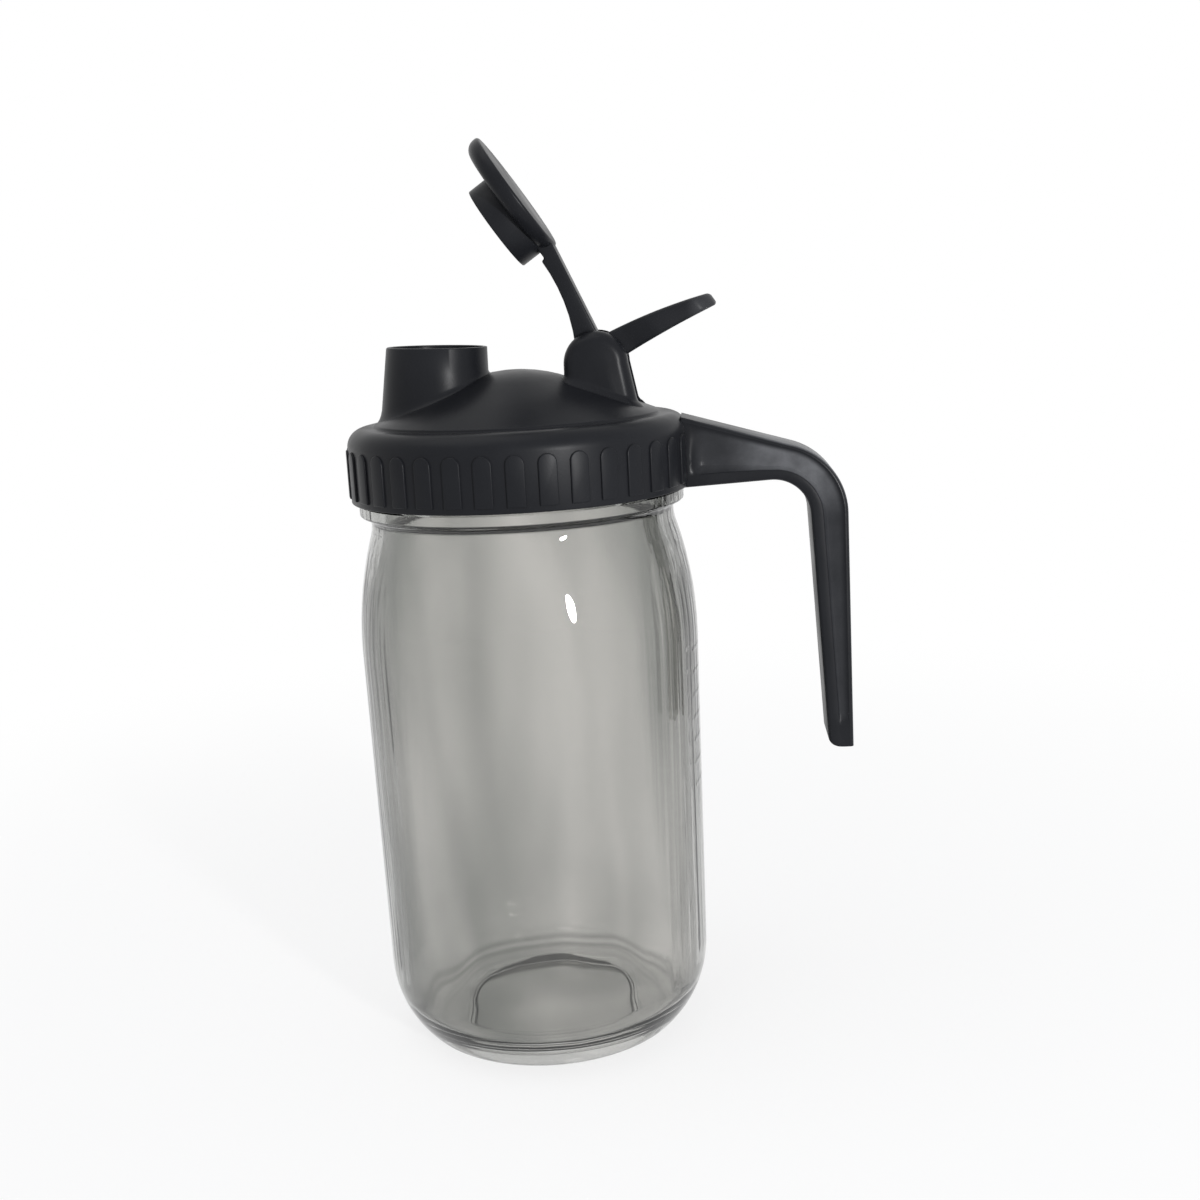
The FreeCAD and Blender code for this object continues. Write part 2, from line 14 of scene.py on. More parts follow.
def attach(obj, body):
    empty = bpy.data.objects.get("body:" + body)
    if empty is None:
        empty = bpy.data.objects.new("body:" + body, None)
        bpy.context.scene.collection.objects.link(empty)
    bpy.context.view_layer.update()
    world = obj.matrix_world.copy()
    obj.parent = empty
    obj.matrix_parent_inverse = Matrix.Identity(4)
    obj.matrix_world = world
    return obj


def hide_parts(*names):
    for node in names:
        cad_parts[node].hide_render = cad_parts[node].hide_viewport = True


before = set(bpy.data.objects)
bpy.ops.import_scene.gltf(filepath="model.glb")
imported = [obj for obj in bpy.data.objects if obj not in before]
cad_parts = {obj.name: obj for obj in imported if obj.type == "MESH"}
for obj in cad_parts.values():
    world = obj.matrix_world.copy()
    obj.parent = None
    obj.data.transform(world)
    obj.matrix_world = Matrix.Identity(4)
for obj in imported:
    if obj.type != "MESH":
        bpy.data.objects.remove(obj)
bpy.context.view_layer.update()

# %% [markdown]
# ## Working in millimetres
# Blender counts in metres, and a jar is drawn in millimetres, so each size is written in millimetres and
# turned once, here. The helpers below do what a hand does first: take one piece alone, open it for
# editing, and pick the parts of it that the next tool works on.

# %% Take, open and close a piece
MM = 0.001


def take(piece):
    """Select one piece alone and make it the active one."""
    if bpy.context.mode != "OBJECT":
        bpy.ops.object.mode_set(mode="OBJECT")
    bpy.ops.object.select_all(action="DESELECT")
    piece.select_set(True)
    bpy.context.view_layer.objects.active = piece
    return piece


def open_up(piece, mode="VERT"):
    """Open a piece for editing with nothing in it selected."""
    take(piece)
    bpy.ops.object.mode_set(mode="EDIT")
    bpy.ops.mesh.select_mode(type=mode)
    bpy.ops.mesh.select_all(action="DESELECT")


def close_up(piece):
    """Leave edit mode."""
    bpy.ops.object.mode_set(mode="OBJECT")
    return piece


def named(name):
    """The piece that was just added, with its own name."""
    piece = bpy.context.active_object
    piece.name = name
    piece.data.name = name
    return piece


# %% Pick parts by their place
def pick(piece, kind, wanted):
    """Select the verts, edges or faces whose middle, in millimetres, passes a test."""
    mesh = bmesh.from_edit_mesh(piece.data)
    for item in getattr(mesh, kind):
        if kind == "verts":
            middle = item.co
        elif kind == "edges":
            middle = (item.verts[0].co + item.verts[1].co) / 2
        else:
            middle = item.calc_center_median()
        if wanted(middle / MM, item):
            item.select_set(True)
    mesh.select_flush_mode()
    bmesh.update_edit_mesh(piece.data)


# %% Add and apply a modifier
def modify(piece, kind, **settings):
    """Add one modifier, set it and apply it."""
    take(piece)
    modifier = piece.modifiers.new(kind.title(), kind)
    for key, value in settings.items():
        setattr(modifier, key, value)
    bpy.ops.object.modifier_apply(modifier=modifier.name)
    return piece


# %% [markdown]
# ## The camera
# It stands 42 cm from the jar's axis, a little to the right of square on, as high as the open flip cap,
# and looks down at the jar. It is set first, so that each piece can be judged from there as it is made.

# %% Camera
STAND_OFF = 421.5
HEIGHT = 205.8
AROUND = 6.7          # degrees to the right of square on
LOOK_DOWN = 11.3
LOOK_RIGHT = 2.7
TILT = -3.1
LENS = 46.2           # on a 36 mm sensor

around = math.radians(AROUND)
bpy.ops.object.camera_add()
camera = bpy.context.active_object
place = Vector((math.sin(around) * STAND_OFF, -math.cos(around) * STAND_OFF, HEIGHT)) * MM
turn = (Matrix.Rotation(math.radians(AROUND - LOOK_RIGHT), 4, "Z")
        @ Matrix.Rotation(math.radians(90 - LOOK_DOWN), 4, "X")
        @ Matrix.Rotation(math.radians(TILT), 4, "Z"))
camera.matrix_world = Matrix.Translation(place) @ turn
camera.data.lens = LENS
camera.data.sensor_width = 36
bpy.context.scene.camera = camera
print("camera at", [round(value, 3) for value in place])

# %% [markdown]
# ## Colours and nodes
# Colours are written as sRGB hex, as on a paint chart, and turned to the linear values that the renderer
# counts in. One small helper adds a node with its settings and its links.


# %% Helpers for materials
def linear(code):
    """Linear colour of an sRGB hex code."""
    parts = [int(code[i:i + 2], 16) / 255 for i in (0, 2, 4)]
    return [part / 12.92 if part <= 0.04045 else ((part + 0.055) / 1.055) ** 2.4 for part in parts] + [1.0]


def node(tree, kind, settings=None, **inputs):
    """Add a node. Settings are its own options, and inputs are values or other nodes' sockets."""
    made = tree.nodes.new(kind)
    for key, value in (settings or {}).items():
        setattr(made, key, value)
    for key, value in inputs.items():
        name = key.replace("_", " ")
        socket = made.inputs[int(name[1:])] if name[0] == "n" and name[1:].isdigit() else made.inputs[name]
        if isinstance(value, bpy.types.NodeSocket):
            tree.links.new(value, socket)
        else:
            socket.default_value = value
    return made


def new_material(name):
    """Empty material with its tree and its output."""
    made = bpy.data.materials.new(name)
    made.use_nodes = True
    made.node_tree.nodes.clear()
    return made, made.node_tree, made.node_tree.nodes.new("ShaderNodeOutputMaterial")


# Settings that several nodes share
SMOOTH = {"interpolation_type": "SMOOTHSTEP"}
PLUS, MINUS, TIMES = {"operation": "ADD"}, {"operation": "SUBTRACT"}, {"operation": "MULTIPLY"}
UNSIGNED = {"operation": "ABSOLUTE"}
LARGER = {"operation": "MAXIMUM"}
COLOURS = {"data_type": "RGBA"}


def looked_at(tree):
    """1 for a ray that is looked along, straight, in a mirror or through glass, and 0 for plain light."""
    ray = node(tree, "ShaderNodeLightPath")
    direct = node(tree, "ShaderNodeMath", LARGER, n0=ray.outputs["Is Camera Ray"],
                  n1=ray.outputs["Is Glossy Ray"])
    return node(tree, "ShaderNodeMath", LARGER, n0=direct.outputs[0],
                n1=ray.outputs["Is Transmission Ray"]).outputs[0]


# %% [markdown]
# ## Surround and floor
# The set is a white sweep: one wide pale floor under a white surround. The surround is white at a strength
# of 1 where it is looked at straight, in a reflection or through the glass, and its light on the
# things in it is weaker, so that the floor keeps the pitcher's shadow.

# %% Surround
FILL_LIGHT = 0.6           # share of the white that lights the things in it
world = bpy.data.worlds.new("studio")
bpy.context.scene.world = world
world.use_nodes = True
sky = world.node_tree
sky.nodes.clear()
seen_white = node(sky, "ShaderNodeBackground", Color=linear("ffffff"), Strength=1.0)
soft_fill = node(sky, "ShaderNodeBackground", Color=linear("f4f6fa"), Strength=FILL_LIGHT)
both = node(sky, "ShaderNodeMixShader", n0=looked_at(sky), n1=soft_fill.outputs[0],
            n2=seen_white.outputs[0])
node(sky, "ShaderNodeOutputWorld", Surface=both.outputs[0])
bpy.context.scene.view_settings.view_transform = "Standard"

# %% Floor
FLOOR_RADIUS = 4.0
FLOOR_LEVEL = -0.0002      # a hair under the foot ring
NEAR, FAR = 0.12, 0.5      # metres, where the white starts to take over and where it is all there is
NEAR_WHITE = 0.78          # share of plain white under the pitcher, the rest being lit board
bpy.ops.object.select_all(action="DESELECT")
bpy.ops.mesh.primitive_circle_add(vertices=96, radius=FLOOR_RADIUS, fill_type="NGON",
                                  location=(0, 0, FLOOR_LEVEL))
floor = named("floor")
bpy.ops.object.transform_apply()
floor_paint, tree, output = new_material("matt_white_board")
place = node(tree, "ShaderNodeTexCoord")
far = node(tree, "ShaderNodeVectorMath", {"operation": "LENGTH"}, n0=place.outputs["Object"])
fade = node(tree, "ShaderNodeMapRange", SMOOTH, Value=far.outputs["Value"], n1=NEAR, n2=FAR,
            n3=NEAR_WHITE, n4=1.0)
white_share = node(tree, "ShaderNodeMath", TIMES, n0=looked_at(tree), n1=fade.outputs[0])
board = node(tree, "ShaderNodeBsdfDiffuse", Color=linear("f7f7f7"))
white = node(tree, "ShaderNodeEmission", Color=linear("ffffff"), Strength=1.0)
sheet = node(tree, "ShaderNodeMixShader", n0=white_share.outputs[0], n1=board.outputs[0],
             n2=white.outputs[0])

# %% [markdown]
# ## Dark cloths for the glass
# Clear glass shows by what it bends into view at its sides, and on an all-white set it would vanish. So,
# as in a studio, a dark cloth lies on the floor behind it on each side. The cloths are drawn in the
# floor's own finish, by bearing and distance, because then nothing stands in the way of another view. Only
# rays that have gone through the glass see them.

# %% Cloths on the floor
CLOTH_MIDDLE, CLOTH_HALF, CLOTH_SOFT = 42.0, 11.0, 8.0      # degrees to each side of straight behind
CLOTH_NEAR, CLOTH_FAR = 0.22, 0.38                          # metres, where they start
CLOTH_DARK = 0.7
axes = node(tree, "ShaderNodeSeparateXYZ", Vector=place.outputs["Object"])
bearing = node(tree, "ShaderNodeMath", {"operation": "ARCTAN2"}, n0=axes.outputs["X"],
               n1=axes.outputs["Y"])
bearing = node(tree, "ShaderNodeMath", PLUS, n0=bearing.outputs[0], n1=math.radians(AROUND))
bearing = node(tree, "ShaderNodeMath", UNSIGNED, n0=bearing.outputs[0])
beside = node(tree, "ShaderNodeMath", MINUS, n0=bearing.outputs[0], n1=math.radians(CLOTH_MIDDLE))
beside = node(tree, "ShaderNodeMath", UNSIGNED, n0=beside.outputs[0])
cloth = node(tree, "ShaderNodeMapRange", SMOOTH, Value=beside.outputs[0],
             n1=math.radians(CLOTH_HALF + CLOTH_SOFT), n2=math.radians(CLOTH_HALF), n4=CLOTH_DARK)
start = node(tree, "ShaderNodeMapRange", SMOOTH, Value=far.outputs["Value"], n1=CLOTH_NEAR, n2=CLOTH_FAR)
through = node(tree, "ShaderNodeLightPath")
cloth_share = node(tree, "ShaderNodeMath", TIMES, n0=cloth.outputs[0], n1=start.outputs[0])
cloth_share = node(tree, "ShaderNodeMath", TIMES, n0=cloth_share.outputs[0],
                   n1=through.outputs["Is Transmission Ray"])
dark_cloth = node(tree, "ShaderNodeBsdfDiffuse", Color=linear("202020"))
sheet = node(tree, "ShaderNodeMixShader", n0=cloth_share.outputs[0], n1=sheet.outputs[0],
             n2=dark_cloth.outputs[0])
tree.links.new(sheet.outputs[0], output.inputs["Surface"])
floor.data.materials.append(floor_paint)
print("floor radius", FLOOR_RADIUS, "m")

# %% [markdown]
# ## Lights
# A small window light to the right of the camera draws the upright highlights on the glass and the plastic,
# and a wide, weak one overhead fills the top. Each is placed by its bearing and its height in degrees.


# %% Lamps
def lamp(name, azimuth, elevation, distance, size, strength, shape="RECTANGLE", roll=0):
    """Flat light that faces the middle of the pitcher."""
    a, e = math.radians(azimuth), math.radians(elevation)
    away = Vector((math.sin(a) * math.cos(e), -math.cos(a) * math.cos(e), math.sin(e)))
    bpy.ops.object.light_add(type="AREA")
    made = bpy.context.active_object
    made.name = name
    made.data.shape = shape
    made.data.size, made.data.size_y = size
    made.data.energy = strength
    target = Vector((0, 0, 0.12))
    facing = away.to_track_quat("Z", "Y").to_matrix().to_4x4()
    rolled_over = Matrix.Rotation(math.radians(roll), 4, "Z")
    made.matrix_world = Matrix.Translation(target + away * distance) @ facing @ rolled_over
    return made


lamp("window_light", AROUND + 28, 5.5, 1.2, (0.09, 0.19), 13, "ELLIPSE", 22)
lamp("top_light", -60, 70, 1.5, (1.2, 1.2), 6)

# %% [markdown]
# ## Drawing lines and arcs
# Nearly every piece of a jar and its lid starts as a side view: a line that is turned about an axis, as on
# a lathe, or filled and given a thickness. The line is drawn by extruding one vertex from point to
# point. An arc that comes to a point is given by its radius, positive where it turns left.

# %% Trace a line with arcs
ARC_STEP = math.radians(5)


def trace(corners, step=ARC_STEP):
    """Points of a line through (across, up) corners, or (across, up, radius) where an arc comes to one."""
    points = [Vector(corners[0][:2])]
    for corner in corners[1:]:
        start, end = points[-1], Vector(corner[:2])
        if len(corner) == 3:
            radius = corner[2]
            chord = end - start
            left = Vector((-chord.y, chord.x)).normalized()
            rise = math.sqrt(radius * radius - chord.length_squared / 4)
            centre = (start + end) / 2 + left * math.copysign(rise, radius)
            sweep = math.copysign(2 * math.asin(chord.length / 2 / abs(radius)), radius)
            spoke = start - centre
            count = max(2, math.ceil(abs(sweep) / step))
            for number in range(1, count):
                angle = sweep * number / count
                points.append(centre + Vector((spoke.x * math.cos(angle) - spoke.y * math.sin(angle),
                                               spoke.x * math.sin(angle) + spoke.y * math.cos(angle))))
        points.append(end)
    return points


def run(start, end, count):
    """Points along a straight line, from its start to just before its end."""
    return [start.lerp(end, number / count) for number in range(count)]


# %% Draw, turn and thicken a line
def draw(name, points, y=0.0, closed=False):
    """Line of edges through points of the XZ plane, all extruded from one vertex."""
    bpy.ops.object.select_all(action="DESELECT")
    bpy.ops.mesh.primitive_plane_add(size=MM, location=Vector((points[0].x, y, points[0].y)) * MM)
    piece = named(name)
    bpy.ops.object.transform_apply()
    bpy.ops.object.mode_set(mode="EDIT")
    bpy.ops.mesh.select_mode(type="VERT")
    bpy.ops.mesh.select_all(action="SELECT")
    bpy.ops.mesh.merge(type="CENTER")
    for last, point in zip(points, points[1:]):
        reach = (point - last) * MM
        bpy.ops.mesh.extrude_region_move(TRANSFORM_OT_translate={"value": (reach.x, 0, reach.y)})
    if closed:
        bpy.ops.mesh.select_all(action="SELECT")
        bpy.ops.mesh.edge_face_add()
    return piece


def tidy(piece, gap=0.002):
    """Merge doubles and turn every face outwards, then leave edit mode."""
    bpy.ops.mesh.select_all(action="SELECT")
    bpy.ops.mesh.remove_doubles(threshold=gap * MM)
    bpy.ops.mesh.normals_make_consistent(inside=False)
    return close_up(piece)


def lathe(name, points, steps, closed=False):
    """Line turned once about the Z axis. A line that ends on the axis at both ends makes a solid."""
    piece = draw(name, points)
    if closed:
        ends = [Vector((point.x, 0, point.y)) for point in (points[0], points[-1])]
        open_up(piece)
        pick(piece, "verts", lambda at, item: min((at - end).length for end in ends) < 0.001)
        bpy.ops.mesh.edge_face_add()
    bpy.ops.mesh.select_all(action="SELECT")
    bpy.ops.mesh.spin(steps=steps, angle=math.tau, center=(0, 0, 0), axis=(0, 0, 1))
    return tidy(piece)


def slab(name, points, low, high):
    """Closed side view filled and given its thickness along Y."""
    piece = draw(name, points, y=low, closed=True)
    bpy.ops.mesh.extrude_region_move(TRANSFORM_OT_translate={"value": (0, (high - low) * MM, 0)})
    return tidy(piece)


# %% Roll a skin round a piece
def rolled(name, rings):
    """Grid rolled into a tube through matching rings of points, with both its ends closed."""
    columns, rows = len(rings[0]), len(rings)
    bpy.ops.object.select_all(action="DESELECT")
    bpy.ops.mesh.primitive_grid_add(x_subdivisions=columns, y_subdivisions=rows - 1, size=0.1)
    piece = named(name)
    for row, ring in enumerate(rings):
        for column in range(columns + 1):
            piece.data.vertices[row * (columns + 1) + column].co = ring[column % columns] * MM
    open_up(piece, "EDGE")
    bpy.ops.mesh.select_all(action="SELECT")
    bpy.ops.mesh.remove_doubles(threshold=0.0005 * MM)
    bpy.ops.mesh.select_all(action="DESELECT")
    bpy.ops.mesh.select_non_manifold()
    bpy.ops.mesh.edge_face_add()
    return tidy(piece, 0.0005)


# %% Soften, cut, settle and dress a piece
def soften(piece, width, segments=3, angle=35):
    """Small round along each sharp edge, as every moulded edge has."""
    return modify(piece, "BEVEL", width=width * MM, segments=segments, limit_method="ANGLE",
                  angle_limit=math.radians(angle), use_clamp_overlap=True)


def cut(piece, cutter, operation="DIFFERENCE"):
    """Cut a piece with another one, which is then thrown away."""
    modify(piece, "BOOLEAN", object=cutter, operation=operation, solver="EXACT")
    bpy.data.objects.remove(cutter)
    return piece


def settle(piece):
    """Apply the place, the turn and the size, so that the object sits at the origin."""
    take(piece)
    bpy.ops.object.transform_apply(location=True, rotation=True, scale=True)
    return piece


def dress(piece, material, body, slot, *nodes, smooth=30):
    """Give a piece its finish and the body that it rides on, and hide the solids that it stands for."""
    take(piece)
    bpy.ops.object.shade_smooth_by_angle(angle=math.radians(smooth))
    piece.data.materials.clear()
    piece.data.materials.append(material)
    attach(piece, body)
    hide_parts(*nodes)
    low, high = [[round(edge(corner[axis] for corner in piece.bound_box) / MM, 1) for axis in range(3)]
                 for edge in (min, max)]
    print(f"{piece.name}: {len(piece.data.polygons)} faces, {low} to {high} mm")
    return piece


# %% [markdown]
# ## The glass
# A preserving jar is soda-lime glass, pressed to a short tube and blown out in a mould. Iron in the sand
# gives it a faint grey-green body colour, which shows as grey where one looks through both walls.
# The colour is a tint on the surface, which darkens with each wall that is looked through. Slow
# upright patches of two tints stand for walls that came out thicker and thinner.

# %% Body colour of the glass
THIN_GLASS, THICK_GLASS = "dad9d6", "afb0ad"
PATCH_SCALE = (34, 34, 9)      # a patch is about 30 mm across and 110 mm high
glass, tree, output = new_material("pressed_soda_lime_glass")
place = node(tree, "ShaderNodeTexCoord")
axes = node(tree, "ShaderNodeSeparateXYZ", Vector=place.outputs["Object"])
patch_map = node(tree, "ShaderNodeMapping", Vector=place.outputs["Object"], Scale=PATCH_SCALE)
patch = node(tree, "ShaderNodeTexNoise", Vector=patch_map.outputs[0], Scale=1.0, Detail=1.5)
patch = node(tree, "ShaderNodeMapRange", Value=patch.outputs["Fac"], n1=0.35, n2=0.65)
tint = node(tree, "ShaderNodeMix", COLOURS, Factor=patch.outputs[0], n6=linear(THICK_GLASS),
            n7=linear(THIN_GLASS))

# %% [markdown]
# ## Darker rims and painted rings in the base
# At its sides the wall is looked along and not across, so that there is more glass in the way: the tint
# darkens as the surface turns away. The base is the thickest glass of all, and darker rings of painted
# shade
# mark where its edges bend dark into view: three soft bands, by distance from the axis.

# %% Thicker glass at the sides
SIDE_TINT = "8b8c89"
lean = node(tree, "ShaderNodeLayerWeight", Blend=0.5)
side_on = node(tree, "ShaderNodeMapRange", SMOOTH, Value=lean.outputs["Facing"], n1=0.35, n2=0.8)
side_tint = node(tree, "ShaderNodeMix", COLOURS, Factor=side_on.outputs[0], n6=tint.outputs[2],
                 n7=linear(SIDE_TINT))

# %% Rings of painted shade in the base
# Painted shade: darker rings mixed into the base's tint where its edges bend dark into view.
BASE_RING_SHADE = "7d7e7b"
SHADE_RINGS = ((36.5, 1.8, 0.8), (31.0, 1.0, 0.4), (23.5, 1.2, 0.7))     # radius, half width, share of tint
BASE_FROM, BASE_TO = 14.0, 9.0     # heights between which the base takes over
flat = node(tree, "ShaderNodeVectorMath", TIMES, n0=place.outputs["Object"], n1=(1, 1, 0))
radius = node(tree, "ShaderNodeVectorMath", {"operation": "LENGTH"}, n0=flat.outputs[0])
shade_bands = []
for ring_radius, ring_half, depth in SHADE_RINGS:
    off = node(tree, "ShaderNodeMath", MINUS, n0=radius.outputs["Value"], n1=ring_radius * MM)
    off = node(tree, "ShaderNodeMath", UNSIGNED, n0=off.outputs[0])
    shade_bands.append(node(tree, "ShaderNodeMapRange", SMOOTH, Value=off.outputs[0], n1=ring_half * MM, n2=0.0,
                      n4=depth))
rings = shade_bands[0]
for band in shade_bands[1:]:
    rings = node(tree, "ShaderNodeMath", PLUS, n0=rings.outputs[0], n1=band.outputs[0])
in_base = node(tree, "ShaderNodeMapRange", SMOOTH, Value=axes.outputs["Z"], n1=BASE_FROM * MM,
               n2=BASE_TO * MM)
ring_shade_share = node(tree, "ShaderNodeMath", TIMES, n0=rings.outputs[0], n1=in_base.outputs[0])
ring_shaded_tint = node(tree, "ShaderNodeMix", COLOURS, Factor=ring_shade_share.outputs[0], n6=side_tint.outputs[2],
                 n7=linear(BASE_RING_SHADE))

# %% [markdown]
# ## Marks and ripples in the glass
# On the handle's side the mould leaves a plain ladder of raised measure marks. They are cut from a
# sine along the height, kept between two bearings and two heights. Where the mould's halves meet, on both
# sides, the wall is uneven, and fine upright ripples there break the view into streaks.

# %% Measure marks
MARK_PITCH = 6.35          # millimetres between two measure marks
MARK_LOW, MARK_HIGH = 67.0, 112.0
MARK_AROUND = math.radians(-8)  # middle of the ladder, from the handle's side towards the camera
MARK_HALF = math.radians(7)
ladder = node(tree, "ShaderNodeMath", TIMES, n0=axes.outputs["Z"], n1=math.tau / MARK_PITCH / MM)
ladder = node(tree, "ShaderNodeMath", {"operation": "SINE"}, n0=ladder.outputs[0])
bars = node(tree, "ShaderNodeMapRange", SMOOTH, Value=ladder.outputs[0], n1=0.75, n2=0.95)
bearing = node(tree, "ShaderNodeMath", {"operation": "ARCTAN2"}, n0=axes.outputs["Y"],
               n1=axes.outputs["X"])
beside = node(tree, "ShaderNodeMath", MINUS, n0=bearing.outputs[0], n1=MARK_AROUND)
beside = node(tree, "ShaderNodeMath", UNSIGNED, n0=beside.outputs[0])
ends = node(tree, "ShaderNodeMapRange", SMOOTH, Value=beside.outputs[0], n1=MARK_HALF, n2=MARK_HALF * 0.9)
above = node(tree, "ShaderNodeMath", {"operation": "GREATER_THAN"}, n0=axes.outputs["Z"], n1=MARK_LOW * MM)
below = node(tree, "ShaderNodeMath", {"operation": "LESS_THAN"}, n0=axes.outputs["Z"], n1=MARK_HIGH * MM)
marks = bars
for share in (ends, above, below):
    marks = node(tree, "ShaderNodeMath", TIMES, n0=marks.outputs[0], n1=share.outputs[0])

# %% Ripples at the mould's seams
SEAM_FROM, SEAM_TO = 31.0, 40.0        # millimetres to each side, where they come in
SEAM_LOW, SEAM_HIGH = 12, 30           # heights over which they come in
RIPPLE_SCALE = (330, 330, 9)           # a ripple is about 3 mm wide and 110 mm high
ripple_map = node(tree, "ShaderNodeMapping", Vector=place.outputs["Object"], Scale=RIPPLE_SCALE)
ripples = node(tree, "ShaderNodeTexNoise", Vector=ripple_map.outputs[0], Scale=1.0, Detail=1.5)
to_side = node(tree, "ShaderNodeMath", UNSIGNED, n0=axes.outputs["X"])
side_share = node(tree, "ShaderNodeMapRange", SMOOTH, Value=to_side.outputs[0], n1=SEAM_FROM * MM,
                  n2=SEAM_TO * MM)
on_wall = node(tree, "ShaderNodeMapRange", SMOOTH, Value=axes.outputs["Z"], n1=SEAM_LOW * MM,
               n2=SEAM_HIGH * MM)
seam_share = node(tree, "ShaderNodeMath", TIMES, n0=side_share.outputs[0], n1=on_wall.outputs[0])
ripples = node(tree, "ShaderNodeMath", TIMES, n0=ripples.outputs["Fac"], n1=seam_share.outputs[0])

# %% Skin of the glass
WAVE_SCALE = (70, 70, 12)              # a slow wave is about 14 mm wide and 80 mm high
wave_map = node(tree, "ShaderNodeMapping", Vector=place.outputs["Object"], Scale=WAVE_SCALE)
wave = node(tree, "ShaderNodeTexNoise", Vector=wave_map.outputs[0], Scale=1.0, Detail=1.0)
slow_waves = node(tree, "ShaderNodeBump", Strength=0.35, Distance=0.0006, Height=wave.outputs["Fac"])
seam_waves = node(tree, "ShaderNodeBump", Strength=0.7, Distance=0.0005, Height=ripples.outputs[0],
                  Normal=slow_waves.outputs[0])
relief = node(tree, "ShaderNodeBump", Strength=0.45, Distance=0.0003, Height=marks.outputs[0],
              Normal=seam_waves.outputs[0])
shader = node(tree, "ShaderNodeBsdfPrincipled", Base_Color=ring_shaded_tint.outputs[2], Roughness=0.03, IOR=1.52,
              Transmission_Weight=1.0, Normal=relief.outputs[0])
tree.links.new(shader.outputs[0], output.inputs["Surface"])
print("glass", len(tree.nodes), "nodes")

# %% [markdown]
# ## The plastic
# The lid and the cap are black polypropylene, injection moulded in a lightly grained steel mould. Carbon
# black takes all colour away. What the eye gets is the skin: a semi-gloss that is a little uneven, where
# the melt flowed, and a fine grain that breaks up each highlight. On the handle's scooped sides a grey
# sheen is painted into the colour, most of all at the bend: a painted soft highlight.

# %% Black of the plastic
CLOUD_SCALE = 70.0         # clouds of about 14 mm
plastic, tree, output = new_material("moulded_black_polypropylene")
place = node(tree, "ShaderNodeTexCoord")
cloud = node(tree, "ShaderNodeTexNoise", Vector=place.outputs["Object"], Scale=CLOUD_SCALE, Detail=3.0)
shade = node(tree, "ShaderNodeMix", COLOURS, Factor=cloud.outputs["Fac"], n6=linear("141518"),
             n7=linear("1b1c1f"))

# %% Where the painted sheen lies on the handle
BEND = (78, 0, 165)                    # middle of the bend
BEND_FROM, BEND_TO = 26, 6             # millimetres from it, over which the painted sheen comes in
SUNK_FROM, SUNK_TO = 8.45, 7.9         # half width under which the sides are scooped
SKIRT_FROM, SKIRT_TO = 46.8, 50        # millimetres from the axis, past the skirt
axes = node(tree, "ShaderNodeSeparateXYZ", Vector=place.outputs["Object"])
across = node(tree, "ShaderNodeMath", UNSIGNED, n0=axes.outputs["Y"])
sunk = node(tree, "ShaderNodeMapRange", SMOOTH, Value=across.outputs[0], n1=SUNK_FROM * MM,
            n2=SUNK_TO * MM)
past_skirt = node(tree, "ShaderNodeMapRange", SMOOTH, Value=axes.outputs["X"], n1=SKIRT_FROM * MM,
                  n2=SKIRT_TO * MM)
to_bend = node(tree, "ShaderNodeVectorMath", {"operation": "DISTANCE"}, n0=place.outputs["Object"],
               n1=tuple(value * MM for value in BEND))
near_bend = node(tree, "ShaderNodeMapRange", SMOOTH, Value=to_bend.outputs["Value"], n1=BEND_FROM * MM,
                 n2=BEND_TO * MM, n3=0.12, n4=0.8)

# %% Painted sheen
# Painted sheen: a light grey mixed into the black where the soft highlight lies on the handle's scooped
# sides.
SHEEN_GREY = "66676a"
BLOTCH_SCALE = 130.0       # blotches of about 8 mm
blotch = node(tree, "ShaderNodeTexNoise", Vector=place.outputs["Object"], Scale=BLOTCH_SCALE, Detail=4.0,
              Roughness=0.6)
blotch = node(tree, "ShaderNodeMapRange", Value=blotch.outputs["Fac"], n1=0.3, n2=0.7, n3=0.65, n4=1.25)
sheen_share = sunk
for share in (past_skirt, near_bend, blotch):
    sheen_share = node(tree, "ShaderNodeMath", TIMES, n0=sheen_share.outputs[0], n1=share.outputs[0])
sheen_painted_colour = node(tree, "ShaderNodeMix", COLOURS, Factor=sheen_share.outputs[0], n6=shade.outputs[2],
                    n7=linear(SHEEN_GREY))

# %% Skin of the plastic
GLOSSY, DULL = 0.30, 0.42
# The real grain is about 0.1 mm, finer than can be seen from here, so it is drawn at 0.6 mm.
GRAIN_SCALE = 1600.0
gloss = node(tree, "ShaderNodeMapRange", Value=cloud.outputs["Fac"], n1=0.3, n2=0.7, n3=GLOSSY, n4=DULL)
grain = node(tree, "ShaderNodeTexNoise", Vector=place.outputs["Object"], Scale=GRAIN_SCALE, Detail=2.0)
skin = node(tree, "ShaderNodeBump", Strength=0.12, Distance=0.0001, Height=grain.outputs["Fac"])
shader = node(tree, "ShaderNodeBsdfPrincipled", Base_Color=sheen_painted_colour.outputs[2],
              Roughness=gloss.outputs[0], IOR=1.49, Specular_IOR_Level=0.1, Normal=skin.outputs[0])
tree.links.new(shader.outputs[0], output.inputs["Surface"])
print("plastic", len(tree.nodes), "nodes")

# %% [markdown]
# ## The jar
# A quart jar is blown into a mould: a foot ring, a heel, a slightly tapered body, a round shoulder, a
# waist, a bead and the plain finish that the lid screws on to. It is round, so half its section is drawn
# and turned. The inside is drawn as well, because glass is seen through both its walls.

